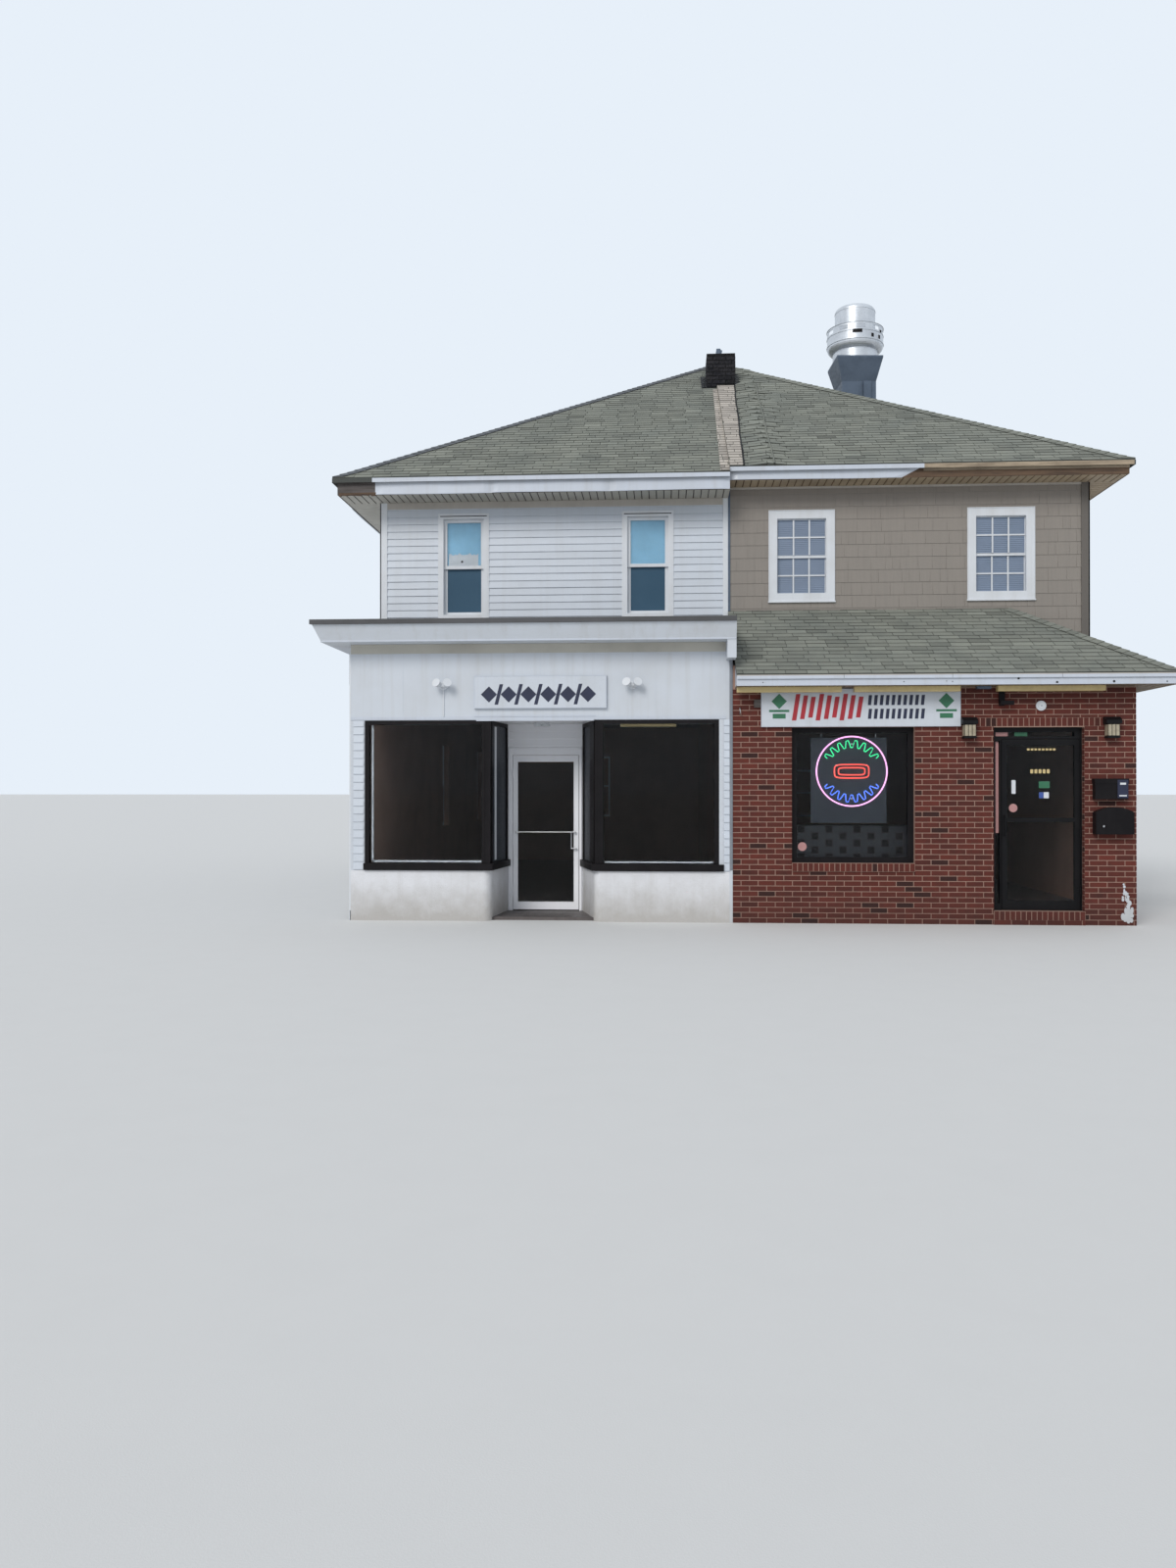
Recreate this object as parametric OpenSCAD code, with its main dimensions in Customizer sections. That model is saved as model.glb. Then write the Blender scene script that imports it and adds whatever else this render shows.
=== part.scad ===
// Pair of two-storey shops that share a party wall and one hip roof.
// The left shop has a white front with two display windows and a recessed door.
// The right shop has a red brick front under a shingled pent roof.
// X runs along the street front from the party line, Y into the building from
// the face of the two shop fronts, and Z up from the ground.

/* [Building] */
// Width of each shop, from the party line to the outer face of its side wall
unit_w = 4900; // [4300:50:5600]
// Depth of the house, from its front wall face to its rear wall face
house_depth = 11000; // [10600:100:13000]
// Distance that the shop fronts stand before the house front
shop_depth = 1650; // [1500:10:2000]
// Thickness of the framed house walls
wall_t = 200; // [140:10:260]
// Thickness of the wall between the two shops
party_t = 200; // [150:10:260]
// Thickness of the framed shop front walls
front_t = 140; // [110:10:180]

/* [Storeys] */
// Height of the left shop's floor
floor_left_z = 40; // [20:5:45]
// Height of the right shop's floor
floor_right_z = 165; // [120:5:170]
// Underside of the upper floor
storey_z = 3100; // [2900:10:3150]
// Thickness of the upper floor
upper_floor_t = 280; // [200:10:320]
// Height of the soffit at the left eave
soffit_left_z = 5745; // [5700:5:5790]
// Height of the soffit at the right eave
soffit_right_z = 5888; // [5840:5:5910]
// Thickness of the upper ceiling
ceiling_t = 90; // [60:5:120]

/* [Main roof] */
// Rise of the roof for each unit of run
roof_slope = 0.62; // [0.5:0.01:0.75]
// Height of the roof deck's underside over the left wall face
plate_left_z = 6250; // [6220:5:6300]
// Height of the roof deck's underside over the right wall face
plate_right_z = 6285; // [6250:5:6330]
// Upright thickness of deck and shingles
roof_t = 62; // [45:1:90]
// Reach of the left fascia past the walls
overhang_left = 500; // [400:10:600]
// Reach of the right fascia past the walls
overhang_right = 405; // [300:5:500]
// Reach of the shingles past the fascia
drip = 60; // [30:5:80]
// Thickness of the fascia boards
fascia_t = 25; // [15:1:35]
// Thickness of the ribbed soffit panels
soffit_t = 15; // [8:1:25]

/* [Chimney] */
// Width of the chimney along the front
chimney_w = 480; // [400:10:600]
// Depth of the chimney
chimney_d = 500; // [400:10:600]
// Distance of the chimney's left face from the party line, to the left
chimney_off = 170; // [120:5:240]
// Distance of the chimney's front face behind the house front
chimney_y = 3520; // [3300:10:3800]
// Height of the chimney's top
chimney_top_z = 9060; // [8900:10:9400]
// Width of the flue
flue_w = 200; // [150:10:240]
// Depth of the open flue
flue_depth = 900; // [500:50:1500]
// Reach of the flashing round the chimney
flashing_out = 90; // [50:5:150]
// Thickness of the flashing
flashing_t = 18; // [8:1:30]

/* [Kitchen exhaust] */
// Distance of the duct's centre from the party line
duct_x = 2445; // [2200:5:2700]
// Distance of the duct's centre behind the house front
duct_y = 4350; // [4000:10:4700]
// Width of the square duct
duct_w = 590; // [500:10:650]
// Turn of the duct from the line of the front
duct_turn = 4; // [0:0.5:10]
// Height where the duct starts to flare
flare_z = 8720; // [8650:10:8900]
// Height of the flare
flare_h = 385; // [300:5:500]
// Width of the duct's top
duct_top_w = 790; // [700:10:850]
// Height of the flange on the duct
curb_h = 30; // [20:5:80]
// Height of the box on the duct's front
duct_box_h = 300; // [150:10:400]
// Diameter of the fan's base
drum_d = 770; // [700:10:790]
// Height of the fan's base
drum_h = 161; // [100:1:220]
// Height of the bowl that spreads from the base to the wind band
bowl_h = 104; // [60:2:150]
// Diameter of the wind band
band_d = 960; // [880:10:1060]
// Height of the wind band
band_h = 290; // [220:10:360]
// Width of the slots in the wind band
slot_w = 160; // [80:10:200]
// Height of the slots in the wind band
slot_h = 70; // [40:5:90]
// Diameter of the motor dome
dome_d = 690; // [600:10:760]
// Height of the motor dome above the wind band
dome_h = 390; // [250:2:450]
// Radius of the dome's shoulder
dome_round = 93; // [40:1:150]
// Thickness of the sheet metal
sheet_t = 12; // [6:1:20]

/* [House windows] */
// Width of the left windows
win_left_w = 616; // [560:4:700]
// Height of the left windows' sills
win_left_z = 4124; // [4090:2:4150]
// Height of the left windows
win_left_h = 1400; // [1300:5:1450]
// Width of the right windows
win_right_w = 719; // [650:5:800]
// Height of the right windows' sills
win_right_z = 4379; // [4340:5:4420]
// Height of the right windows
win_right_h = 1082; // [1000:5:1120]
// Centres of the left front windows, from the party line
win_left_x = [3722, 1119]; // [600:1:4300]
// Centres of the right front windows, from the party line
win_right_x = [1017, 3732]; // [600:1:4200]
// Width of the left windows' casing
casing_left = 30; // [15:1:60]
// Width of the right windows' casing
casing_right = 85; // [60:1:110]
// Thickness of the casings
casing_t = 22; // [10:1:35]
// Width of the sash bars
sash_w = 45; // [30:1:60]
// Thickness of each sash
sash_t = 32; // [24:1:40]
// Thickness of the window glass
glass_t = 5; // [3:1:8]
// Centres of the upper side windows, behind the house front
side_win_y = [2300, 5600, 8700]; // [700:50:10200]
// Centres of the lower side windows, behind the house front
low_win_y = [3900, 7700]; // [700:50:10200]
// Centres of the upper rear windows, from the party line
rear_win_x = [1250, 3600]; // [600:50:4200]
// Centre of the lower rear window, from the party line
rear_low_x = 2450; // [2000:10:3000]
// Sill height of the lower windows
low_win_z = 1050; // [900:10:1300]

/* [Left shop front] */
// Height of the display windows' base
riser_z = 640; // [500:5:700]
// Height of the display windows' head
head_z = 2556; // [2400:2:2650]
// Width of the pier at the left shop's outer corner
corner_pier_w = 180; // [130:5:300]
// Distance of the left display window's corner post from the party line
display_b = 3100; // [3000:5:3200]
// Distance of the right display window's corner post from the party line
display_c = 1765; // [1650:5:1850]
// Distance of the right display window's inner edge from the party line
display_d = 200; // [160:5:260]
// Depth of the entrance recess
recess_d = 978; // [850:2:1100]
// Distance of the recess's left rear corner from the party line
recess_a = 3000; // [2980:5:3080]
// Distance of the recess's right rear corner from the party line
recess_b = 1990; // [1900:5:2000]
// Width of the display frame's end bars
frame_w = 60; // [40:5:110]
// Width of the corner posts
post_w = 110; // [60:5:140]
// Height of the display frame's sill
frame_sill_h = 95; // [60:5:130]
// Height of the display frame's head bar
frame_head_h = 50; // [30:5:90]
// Depth of the display frame
frame_d = 90; // [60:5:120]
// Reach of the display frame's sill
sill_nose = 35; // [15:1:45]
// Radius of the risers' corners at the recess
riser_round = 110; // [40:5:130]
// Width of the black boards between the right display and the recess
return_board = 300; // [150:10:400]
// Thickness of the display deck
deck_t = 25; // [18:1:40]
// Width of the left shop's end trim at the party line
end_trim = 70; // [50:5:90]

/* [Cornice] */
// Height of the cornice's underside
cornice_z = 3530; // [3480:5:3600]
// Height of the cornice's sloping face
cornice_h = 270; // [200:5:320]
// Reach of the cornice's underside
cornice_low = 300; // [240:5:340]
// Reach of the cornice's top edge
cornice_out = 420; // [360:5:480]
// Thickness of the cornice boards
cornice_t = 22; // [15:1:30]
// Width of the boxed end of the cornice at the party line
cap_w = 110; // [60:5:160]
// Distance that the boxed end hangs below the cornice
cap_drop = 230; // [100:5:260]
// Rise of the flat roof up to the house wall
flat_rise = 200; // [120:5:230]
// Upright thickness of the flat roof
flat_t = 60; // [40:5:100]

/* [Left door] */
// Width of the left door leaf
left_leaf_w = 890; // [800:5:890]
// Height of the left door leaf
left_leaf_h = 2080; // [1950:5:2080]
// Height of the left leaf's bottom edge
left_leaf_z = 54; // [50:1:60]
// Width of the left door's hinge jamb
left_jamb = 63; // [45:1:70]
// Height of the head of the left door's frame
left_head_h = 108; // [60:2:140]
// Width of the left leaf's upright bars
left_stile = 65; // [55:1:100]
// Height of the left leaf's top rail
left_top_rail = 86; // [60:1:120]
// Height of the left leaf's bottom rail
left_bottom_rail = 105; // [80:1:260]
// Height of the push bar above the left leaf's foot
push_bar_z = 1046; // [960:1:1150]
// Thickness of both leaves
leaf_t = 45; // [38:1:50]
// Depth of the door frames
jamb_d = 80; // [60:5:110]
// Gap between a leaf and its frame on the hinge side, head and foot
leaf_gap = 5; // [5:0.5:7]
// Gap between a leaf and its frame on the lock side
lock_gap = 8; // [7:0.5:10]

/* [Brick front] */
// Thickness of the brick front
brick_t = 200; // [150:10:250]
// Distance of the brick window's left edge from the party line
bwin_x = 706; // [600:2:800]
// Width of the brick window
bwin_w = 1514; // [1400:2:1600]
// Height of the brick window's sill
bwin_z = 755; // [700:5:850]
// Height of the brick window
bwin_h = 1699; // [1550:1:1750]
// Width of the brick window's frame
bwin_frame = 70; // [40:5:100]
// Width of the brick pier at the right corner
brick_pier_w = 618; // [560:1:700]
// Width of the brick doorway
bdoor_w = 1101; // [1090:1:1140]
// Height of the brick doorway's step
bdoor_z = 170; // [170:1:178]
// Height of the head of the right door's frame
right_head_h = 141; // [110:1:160]
// Width of the right door leaf
right_leaf_w = 950; // [880:5:960]
// Height of the right door leaf
right_leaf_h = 2120; // [2000:5:2140]
// Width of the right leaf's upright bars
right_stile = 66; // [55:1:110]
// Height of the right leaf's top rail
right_top_rail = 78; // [60:1:120]
// Height of the right leaf's bottom rail
right_bottom_rail = 115; // [80:1:260]
// Height of the right leaf's middle rail
right_mid_rail = 50; // [30:1:80]
// Height of the middle rail's centre above the right leaf's foot
right_mid_z = 1115; // [950:5:1200]
// Width of the frame bar between the side light and the brick
side_bar_w = 48; // [30:1:60]
// Width of the bar between the side light and the leaf
side_mullion_w = 16; // [12:1:25]
// Height of the narrow pane over the right leaf
transom_h = 55; // [30:1:60]
// Distance of the right leaf's outer face behind the brick face
right_leaf_y = 92; // [60:2:100]
// Width of the right door's hinge jamb
right_jamb = 20; // [15:1:40]
// Reach of the brick sill and step
sill_out = 22; // [10:1:40]
// Height of the brick sill
sill_h = 105; // [80:1:120]

/* [Pent roof] */
// Height of the pent roof's top line
pent_top_z = 4160; // [4100:5:4200]
// Rise of the pent roof for each unit of run
pent_slope = 0.535; // [0.48:0.005:0.56]
// Reach of the pent roof's fascia before the brick
pent_out = 350; // [300:5:400]
// Reach of the pent roof's fascia past the side wall
pent_side = 400; // [350:5:450]
// Length of the pent roof's top line
pent_ridge = 3850; // [3500:10:4200]
// Upright thickness of the pent roof
pent_t = 45; // [35:1:60]
// Reach of the pent shingles past the fascia
pent_drip = 20; // [10:1:40]
// Height of the pent roof's soffit
pent_soffit_z = 2945; // [2900:5:2980]

/* [Fittings] */
// Gap between the brick front's sign and the lantern beside it
sign_right_gap = 4; // [1:1:60]
// Height of the right sign panel
sign_right_h = 474; // [400:2:520]
// Width of the left sign panel
sign_left_w = 1688; // [1500:4:1800]
// Height of the left sign panel
sign_left_h = 414; // [360:2:450]
// Thickness of the sign panels
sign_t = 40; // [20:1:60]
// Distance of the right sign panel's left edge from the party line
sign_right_x = 322; // [100:2:400]
// Distance of the left sign panel's left edge from the party line
sign_left_x = 3304; // [3000:2:3600]
// Height of the left sign panel's foot above the display windows' head
sign_left_up = 148; // [60:2:200]
// Places of the floodlights, from the party line
flood_x = [3700, 1290]; // [400:10:4400]
// Height of the floodlights
flood_z = 2990; // [2800:10:3200]
// Length of each strip light
strip_l = 1280; // [1100:10:1300]
// Places of the strip lights' left ends, from the party line
strip_x = [10, 1445, 3175]; // [0:5:3500]
// Width of the strip lights
strip_w = 110; // [60:5:150]
// Height of the strip lights
strip_h = 70; // [40:5:100]
// Length of the light over the right display window
window_light_l = 720; // [500:10:1200]
// Width of each wall lantern's cap
lantern_w = 184; // [150:2:220]
// Distance of the lanterns' centres from the doorway
lantern_off = 311; // [200:1:330]
// Height of the lanterns' feet below the doorway's head
lantern_down = 140; // [60:5:250]
// Distance of the mailboxes from the doorway
mailbox_off = 93; // [60:1:150]
// Width of the upper mailbox
mailbox_w = 394; // [300:2:440]
// Height of the upper mailbox
mailbox_h = 253; // [200:1:300]
// Height of the upper mailbox's foot
mailbox_z = 1554; // [1500:2:1700]
// Width of the lower mailbox
low_box_w = 455; // [380:5:460]
// Height of the lower mailbox
low_box_h = 332; // [260:2:360]
// Height of the lower mailbox's foot
low_box_z = 1125; // [1000:5:1180]

/* [Fits] */
// Clearance round glass and between fitted pieces
fit = 0.3; // [0.2:0.05:0.5]
// Gap between boards of one run that stay separate
joint = 1; // [0.5:0.25:2]

/* [Hidden] */
$fn = 48;

// Planes of the house
display_a = unit_w - corner_pier_w;
bdoor_x1 = unit_w - brick_pier_w;
bdoor_x = bdoor_x1 - bdoor_w;
left_frame_h = left_leaf_z + left_leaf_h + leaf_gap + left_head_h;
right_leaf_z = bdoor_z + 2 * leaf_gap;
bdoor_top = right_leaf_z + right_leaf_h + leaf_gap + right_head_h;
house_y = shop_depth;
rear_y = house_y + house_depth;
in_x = unit_w - wall_t;
in_front_y = house_y + wall_t;
in_rear_y = rear_y - wall_t;
party_x = party_t / 2;
apex_y = house_y + unit_w;
rear_apex_y = rear_y - unit_w;
cut = 200;

// Underside of the roof deck at a distance inwards from the wall face
function deck_z(plate, inwards) = plate + roof_slope * inwards;
ridge_left_z = deck_z(plate_left_z, unit_w);

// Underside and top of the flat roof and of the pent roof
cornice_top_z = cornice_z + cornice_h;
function flat_z(y) = cornice_top_z + flat_rise * (y + cornice_out) / (house_y + cornice_out);
function pent_z(y) = pent_top_z - pent_slope * (house_y - y);
pent_side_x = unit_w + pent_side;
pent_eave_z = pent_z(-pent_out);
pent_end_slope = (pent_top_z - pent_eave_z) / (pent_side_x - pent_ridge);

// A box from its low corner to its high corner
module block(low, high) translate(low) cube(high - low);

// A profile of [y, z] points carried along X from x0 to x1
module along_x(x0, x1, points)
    translate([x0, 0, 0]) rotate([90, 0, 90]) linear_extrude(x1 - x0) polygon(points);

// A profile of [x, z] points carried along Y from y0 to y1
module along_y(y0, y1, points)
    translate([0, y1, 0]) rotate([90, 0, 0]) linear_extrude(y1 - y0) polygon(points);

// A profile of [x, y] points carried up from z0 to z1
module upright(z0, z1, points)
    translate([0, 0, z0]) linear_extrude(z1 - z0) polygon(points);

// Places a piece drawn on a front wall (x to the right, y inwards) on a side of the house
module on_front() translate([0, house_y, 0]) children();
module on_right() translate([unit_w, house_y, 0]) rotate([0, 0, 90]) children();
module on_left() translate([-unit_w, house_y, 0]) rotate([0, 0, -90]) children();
module on_rear() translate([0, rear_y, 0]) rotate([0, 0, 180]) children();

// A rectangular ring in a wall: outer width, height, bar widths [left, right, bottom, top], depth
module ring(w, h, bars, y0, y1)
    difference() {
        block([-w / 2, y0, 0], [w / 2, y1, h]);
        block([-w / 2 + bars[0], y0 - cut, bars[2]], [w / 2 - bars[1], y1 + cut, h - bars[3]]);
    }

// One double-hung window of width w and height h, its sill at z = 0
lining_t = 22;
lining_d = 110;
sash_y = 28;
module window_frame(w, h, casing) {
    half = h / 2;
    translate([0, 0, -casing])
        ring(w + 2 * casing, h + 2 * casing, [1, 1, 1, 1] * (casing + lining_t), -casing_t, -fit);
    ring(w - 2 * fit, h - 2 * fit, [1, 1, 1, 1] * lining_t, -fit - 1, lining_d);
    sash_h = half + sash_w / 2 - lining_t;
    bars = [1, 1, 1, 1] * sash_w;
    translate([0, 0, half - sash_w / 2])
        ring(w - 2 * lining_t, sash_h, bars, sash_y, sash_y + sash_t);
    translate([0, 0, lining_t - 1])
        ring(w - 2 * lining_t, sash_h, bars, sash_y + sash_t, sash_y + 2 * sash_t);
}
module window_panes(w, h) {
    half = h / 2;
    pane_w = w - 2 * lining_t - 2 * sash_w - 2 * fit;
    pane_h = half + sash_w / 2 - lining_t - 2 * sash_w - 2 * fit;
    for (pane = [[half + sash_w / 2 + fit, sash_y], [lining_t - 1 + sash_w + fit, sash_y + sash_t]])
        block([-pane_w / 2, pane[1] + (sash_t - glass_t) / 2, pane[0]],
            [pane_w / 2, pane[1] + (sash_t + glass_t) / 2, pane[0] + pane_h]);
}
module window_hole(w, h) block([-w / 2, -cut, 0], [w / 2, wall_t + cut, h]);

// Places its children at each window of one half, on the sides named
module at_windows(mirror_x, front_x, z, front = true, side = true, rear = true) {
    s = mirror_x ? -1 : 1;
    if (front) for (x = front_x) on_front() translate([s * x, 0, z]) children();
    if (side) {
        mirror([mirror_x ? 1 : 0, 0, 0]) on_right() {
            for (y = side_win_y) translate([y, 0, z]) children();
            for (y = low_win_y) translate([y, 0, low_win_z]) children();
        }
    }
    if (rear) {
        for (x = rear_win_x) on_rear() translate([-s * x, 0, z]) children();
        on_rear() translate([-s * rear_low_x, 0, low_win_z]) children();
    }
}
module left_windows(front = true, side = true, rear = true)
    at_windows(true, win_left_x, win_left_z, front, side, rear) children();
module right_windows(front = true, side = true, rear = true)
    at_windows(false, win_right_x, win_right_z, front, side, rear) children();

// Floors, ceilings and party wall
module shop_floors() color("tan") {
    block([-in_x, front_t, 0], [-party_x, in_rear_y, floor_left_z]);
    block([party_x, brick_t, 0], [in_x, in_rear_y, floor_right_z]);
}
module upper_floors() color("burlywood")
    for (x = [-in_x, party_x])
        block([x, in_front_y, storey_z], [x + in_x - party_x, in_rear_y, storey_z + upper_floor_t]);
module ceilings() color("white")
    for (x = [-in_x, party_x])
        block([x, in_front_y, soffit_left_z - ceiling_t], [x + in_x - party_x, in_rear_y, soffit_left_z]);
module party_wall() color("lightgray") {
    top_z = deck_z(plate_left_z, unit_w - party_x) - fit;
    difference() {
        along_x(-party_x, party_x, [[in_front_y, 0], [in_rear_y, 0],
            [in_rear_y, deck_z(plate_left_z, wall_t) - fit],
            [rear_apex_y + party_x, top_z], [apex_y - party_x, top_z],
            [in_front_y, deck_z(plate_left_z, wall_t) - fit]]);
        chimney_space(fit);
    }
}
module shop_party_wall() color("lightgray") {
    y0 = front_t + fit;
    y1 = house_y - fit;
    along_x(-party_x, brick_x0 - fit, [[y0, 0], [in_front_y - fit, 0], [in_front_y - fit, storey_z - fit],
        [y1, storey_z - fit], [y1, flat_z(y1) - flat_t - fit], [y0, flat_z(y0) - flat_t - fit]]);
    block([-party_x, brick_t + fit, 0], [party_x, in_front_y - fit, pent_soffit_z]);
}

// Side, rear and upper front walls
module side_wall(plate) {
    block([in_x, house_y, 0], [unit_w, rear_y, plate - fit]);
}
module side_wall_left() color("white") difference() {
    mirror([1, 0, 0]) side_wall(plate_left_z);
    left_windows(front = false, rear = false) window_hole(win_left_w, win_left_h);
}
module side_wall_right() color("tan") difference() {
    side_wall(plate_right_z);
    right_windows(front = false, rear = false) window_hole(win_right_w, win_right_h);
}
module cross_wall(y0, z0, plate) block([0, y0, z0], [in_x, y0 + wall_t, plate - fit]);
module rear_wall_left() color("white") difference() {
    mirror([1, 0, 0]) cross_wall(in_rear_y, 0, plate_left_z);
    left_windows(front = false, side = false) window_hole(win_left_w, win_left_h);
}
module rear_wall_right() color("tan") difference() {
    cross_wall(in_rear_y, 0, plate_right_z);
    right_windows(front = false, side = false) window_hole(win_right_w, win_right_h);
}
module upper_front_wall_left() color("white") difference() {
    mirror([1, 0, 0]) cross_wall(house_y, storey_z, plate_left_z);
    left_windows(side = false, rear = false) window_hole(win_left_w, win_left_h);
}
module upper_front_wall_right() color("tan") difference() {
    cross_wall(house_y, storey_z, plate_right_z);
    right_windows(side = false, rear = false) window_hole(win_right_w, win_right_h);
}

// Half of the hip roof's solid on the right of the party line, its top raised by lift
module hip_half(plate, reach, lift, base_z) {
    top_z = deck_z(plate, unit_w) + lift;
    edge_z = deck_z(plate, -reach) + lift;
    intersection() {
        along_y(house_y - reach, rear_y + reach,
            [[0, base_z], [unit_w + reach, base_z], [unit_w + reach, edge_z], [0, top_z]]);
        along_x(0, unit_w + reach, [[house_y - reach, base_z], [rear_y + reach, base_z],
            [rear_y + reach, edge_z], [rear_apex_y, top_z], [apex_y, top_z], [house_y - reach, edge_z]]);
    }
}
module roof_half(plate, overhang) {
    reach = overhang + drip;
    edge_z = deck_z(plate, -reach);
    difference() {
        hip_half(plate, reach, roof_t, edge_z);
        translate([-cut, 0, 0]) hip_half(plate, reach + cut, 0, edge_z - 2 * cut);
        hip_half(plate, reach + cut, 0, edge_z - 2 * cut);
    }
}
module chimney_space(gap)
    block([-chimney_off - gap, house_y + chimney_y - gap, plate_left_z],
        [chimney_w - chimney_off + gap, house_y + chimney_y + chimney_d + gap, chimney_top_z + cut]);
module roof_left() color("darkslategray") difference() {
    mirror([1, 0, 0]) roof_half(plate_left_z, overhang_left);
    chimney_space(fit);
}
module roof_right() color("slategray") difference() {
    roof_half(plate_right_z, overhang_right);
    chimney_space(fit);
}

// Fascia boards round one half: front, side and rear
module fascia_boards(plate, overhang, low_z) {
    out_x = unit_w + overhang;
    front_y = house_y - overhang;
    back_y = rear_y + overhang;
    top_z = deck_z(plate, -overhang) - fit;
    block([0, front_y, low_z], [out_x, front_y + fascia_t, top_z]);
    block([out_x - fascia_t, front_y + fascia_t + joint, low_z],
        [out_x, back_y - fascia_t - joint, top_z]);
    block([0, back_y - fascia_t, low_z], [out_x, back_y, top_z]);
}
module fascia_left() color("white") mirror([1, 0, 0]) {
    fascia_boards(plate_left_z, overhang_left, soffit_left_z);
    eave_end();
    translate([0, house_y + rear_y, 0]) mirror([0, 1, 0]) eave_end();
}

// Board that closes the left eave at the party line, where it hangs below the right one
module eave_end() {
    low_z = soffit_left_z + soffit_t + fit;
    y0 = house_y - overhang_left + fascia_t + fit;
    along_x(0, fascia_t, [[y0, low_z], [house_y - fit, low_z],
        [house_y - fit, deck_z(plate_left_z, -fit) - fit],
        [y0, deck_z(plate_left_z, y0 - house_y) - fit]]);
}
module fascia_right() color("saddlebrown")
    fascia_boards(plate_right_z, overhang_right, soffit_right_z);

// Soffit panels round one half: front, side and rear
module soffit_panels(overhang, low_z) {
    out_x = unit_w + overhang - fascia_t - fit;
    front_y = house_y - overhang + fascia_t + fit;
    back_y = rear_y + overhang - fascia_t - fit;
    high_z = low_z + soffit_t;
    block([0, front_y, low_z], [out_x, house_y - fit, high_z]);
    block([unit_w + fit, house_y - fit + joint, low_z], [out_x, rear_y + fit - joint, high_z]);
    block([0, rear_y + fit, low_z], [out_x, back_y, high_z]);
}
module soffit_left() color("ivory") mirror([1, 0, 0]) soffit_panels(overhang_left, soffit_left_z);
module soffit_right() color("peru") soffit_panels(overhang_right, soffit_right_z);

// Chimney on the party wall, with an open flue, and the flashing that lies on the roof round it
module flashing(plate, reach)
    difference() {
        hip_half(plate, reach, roof_t + fit + flashing_t, plate);
        hip_half(plate, reach + cut, roof_t + fit, plate - cut);
    }
module chimney() color("dimgray") {
    x0 = -chimney_off;
    y0 = house_y + chimney_y;
    mid_x = x0 + chimney_w / 2;
    mid_y = y0 + chimney_d / 2;
    difference() {
        block([x0, y0, plate_left_z + fit], [x0 + chimney_w, y0 + chimney_d, chimney_top_z]);
        block([mid_x - flue_w / 2, mid_y - flue_w / 2, chimney_top_z - flue_depth],
            [mid_x + flue_w / 2, mid_y + flue_w / 2, chimney_top_z + cut]);
    }
    intersection() {
        block([x0 - flashing_out, y0 - flashing_out, plate_left_z],
            [x0 + chimney_w + flashing_out, y0 + chimney_d + flashing_out, chimney_top_z]);
        union() {
            mirror([1, 0, 0]) flashing(plate_left_z, overhang_left + drip);
            flashing(plate_right_z, overhang_right + drip);
        }
    }
}

// Kitchen exhaust: square duct that flares to a flange, and the round fan on it
duct_cy = house_y + duct_y;
flare_top_z = flare_z + flare_h;
fan_z = flare_top_z + curb_h;
duct_box = [[68, 196], 60];
module exhaust_duct() color("silver") {
    w0 = duct_w / 2;
    w1 = duct_top_w / 2;
    flare = [[-w0, flare_z], [w0, flare_z], [w1, flare_top_z], [-w1, flare_top_z]];
    difference() {
        translate([duct_x, duct_cy, 0]) rotate([0, 0, duct_turn]) {
            block([-w0, -w0, plate_right_z], [w0, w0, flare_z]);
            intersection() {
                along_x(-w1, w1, flare);
                along_y(-w1, w1, flare);
            }
            block([-w1, -w1, flare_top_z], [w1, w1, fan_z]);
            block([duct_box[0][0], -w0 - duct_box[1], flare_z - sheet_t - duct_box_h],
                [duct_box[0][1], -w0 + 1, flare_z - sheet_t]);
        }
        hip_half(plate_right_z, overhang_right + drip, roof_t + fit, plate_right_z - cut);
    }
}

// The fan is turned from one outline: base, spreading bowl, open wind band and motor dome
slots = 10;
slot_turn = 21;
slot_up = 180;
lid_lip = 5;
module exhaust_fan() color("gainsboro") translate([duct_x, duct_cy, fan_z + fit]) {
    band_r = band_d / 2;
    dome_r = dome_d / 2;
    band_z = drum_h + bowl_h;
    top_z = band_z + band_h + dome_h;
    lid_z = top_z - dome_round;
    bowl = [for (a = [0:15:90]) [drum_d / 2 + (band_r - drum_d / 2) * sin(a), band_z - bowl_h * cos(a)]];
    lid = [for (a = [0:15:90]) [dome_r + lid_lip - dome_round * (1 - cos(a)), lid_z + dome_round * sin(a)]];
    difference() {
        rotate_extrude() polygon(concat([[0, 0], [drum_d / 2, 0]], bowl,
            [[band_r, band_z + band_h], [band_r - sheet_t, band_z + band_h], [band_r - sheet_t, band_z],
                [dome_r, band_z], [dome_r, lid_z]], lid, [[0, top_z]]));
        for (n = [0:slots - 1])
            rotate([0, 0, slot_turn + n * 360 / slots])
                block([band_r - 3 * sheet_t, -slot_w / 2, band_z + slot_up],
                    [band_r + sheet_t, slot_w / 2, band_z + slot_up + slot_h]);
    }
}

// Window frames and glass of the house
module window_frames_left() color("white")
    left_windows() window_frame(win_left_w, win_left_h, casing_left);
module window_frames_right() color("white")
    right_windows() window_frame(win_right_w, win_right_h, casing_right);
module window_glass() color("lightblue", 0.5) {
    left_windows() window_panes(win_left_w, win_left_h);
    right_windows() window_panes(win_right_w, win_right_h);
}

// Left shop front: stall risers, decks, frames and glass round the recess
return_t = 60;
recess_l = [[-display_b, 0], [-recess_a, recess_d]];
recess_r = [[-display_c, 0], [-recess_b, recess_d]];
recess_m = [[display_c, 0], [recess_b, recess_d]];
frame_h = head_z - riser_z - 2 * fit;

// The point of the line from p to q at depth y
function line_at(line, y) = let (p = line[0], q = line[1]) p + (q - p) * (y - p[1]) / (q[1] - p[1]);

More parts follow.
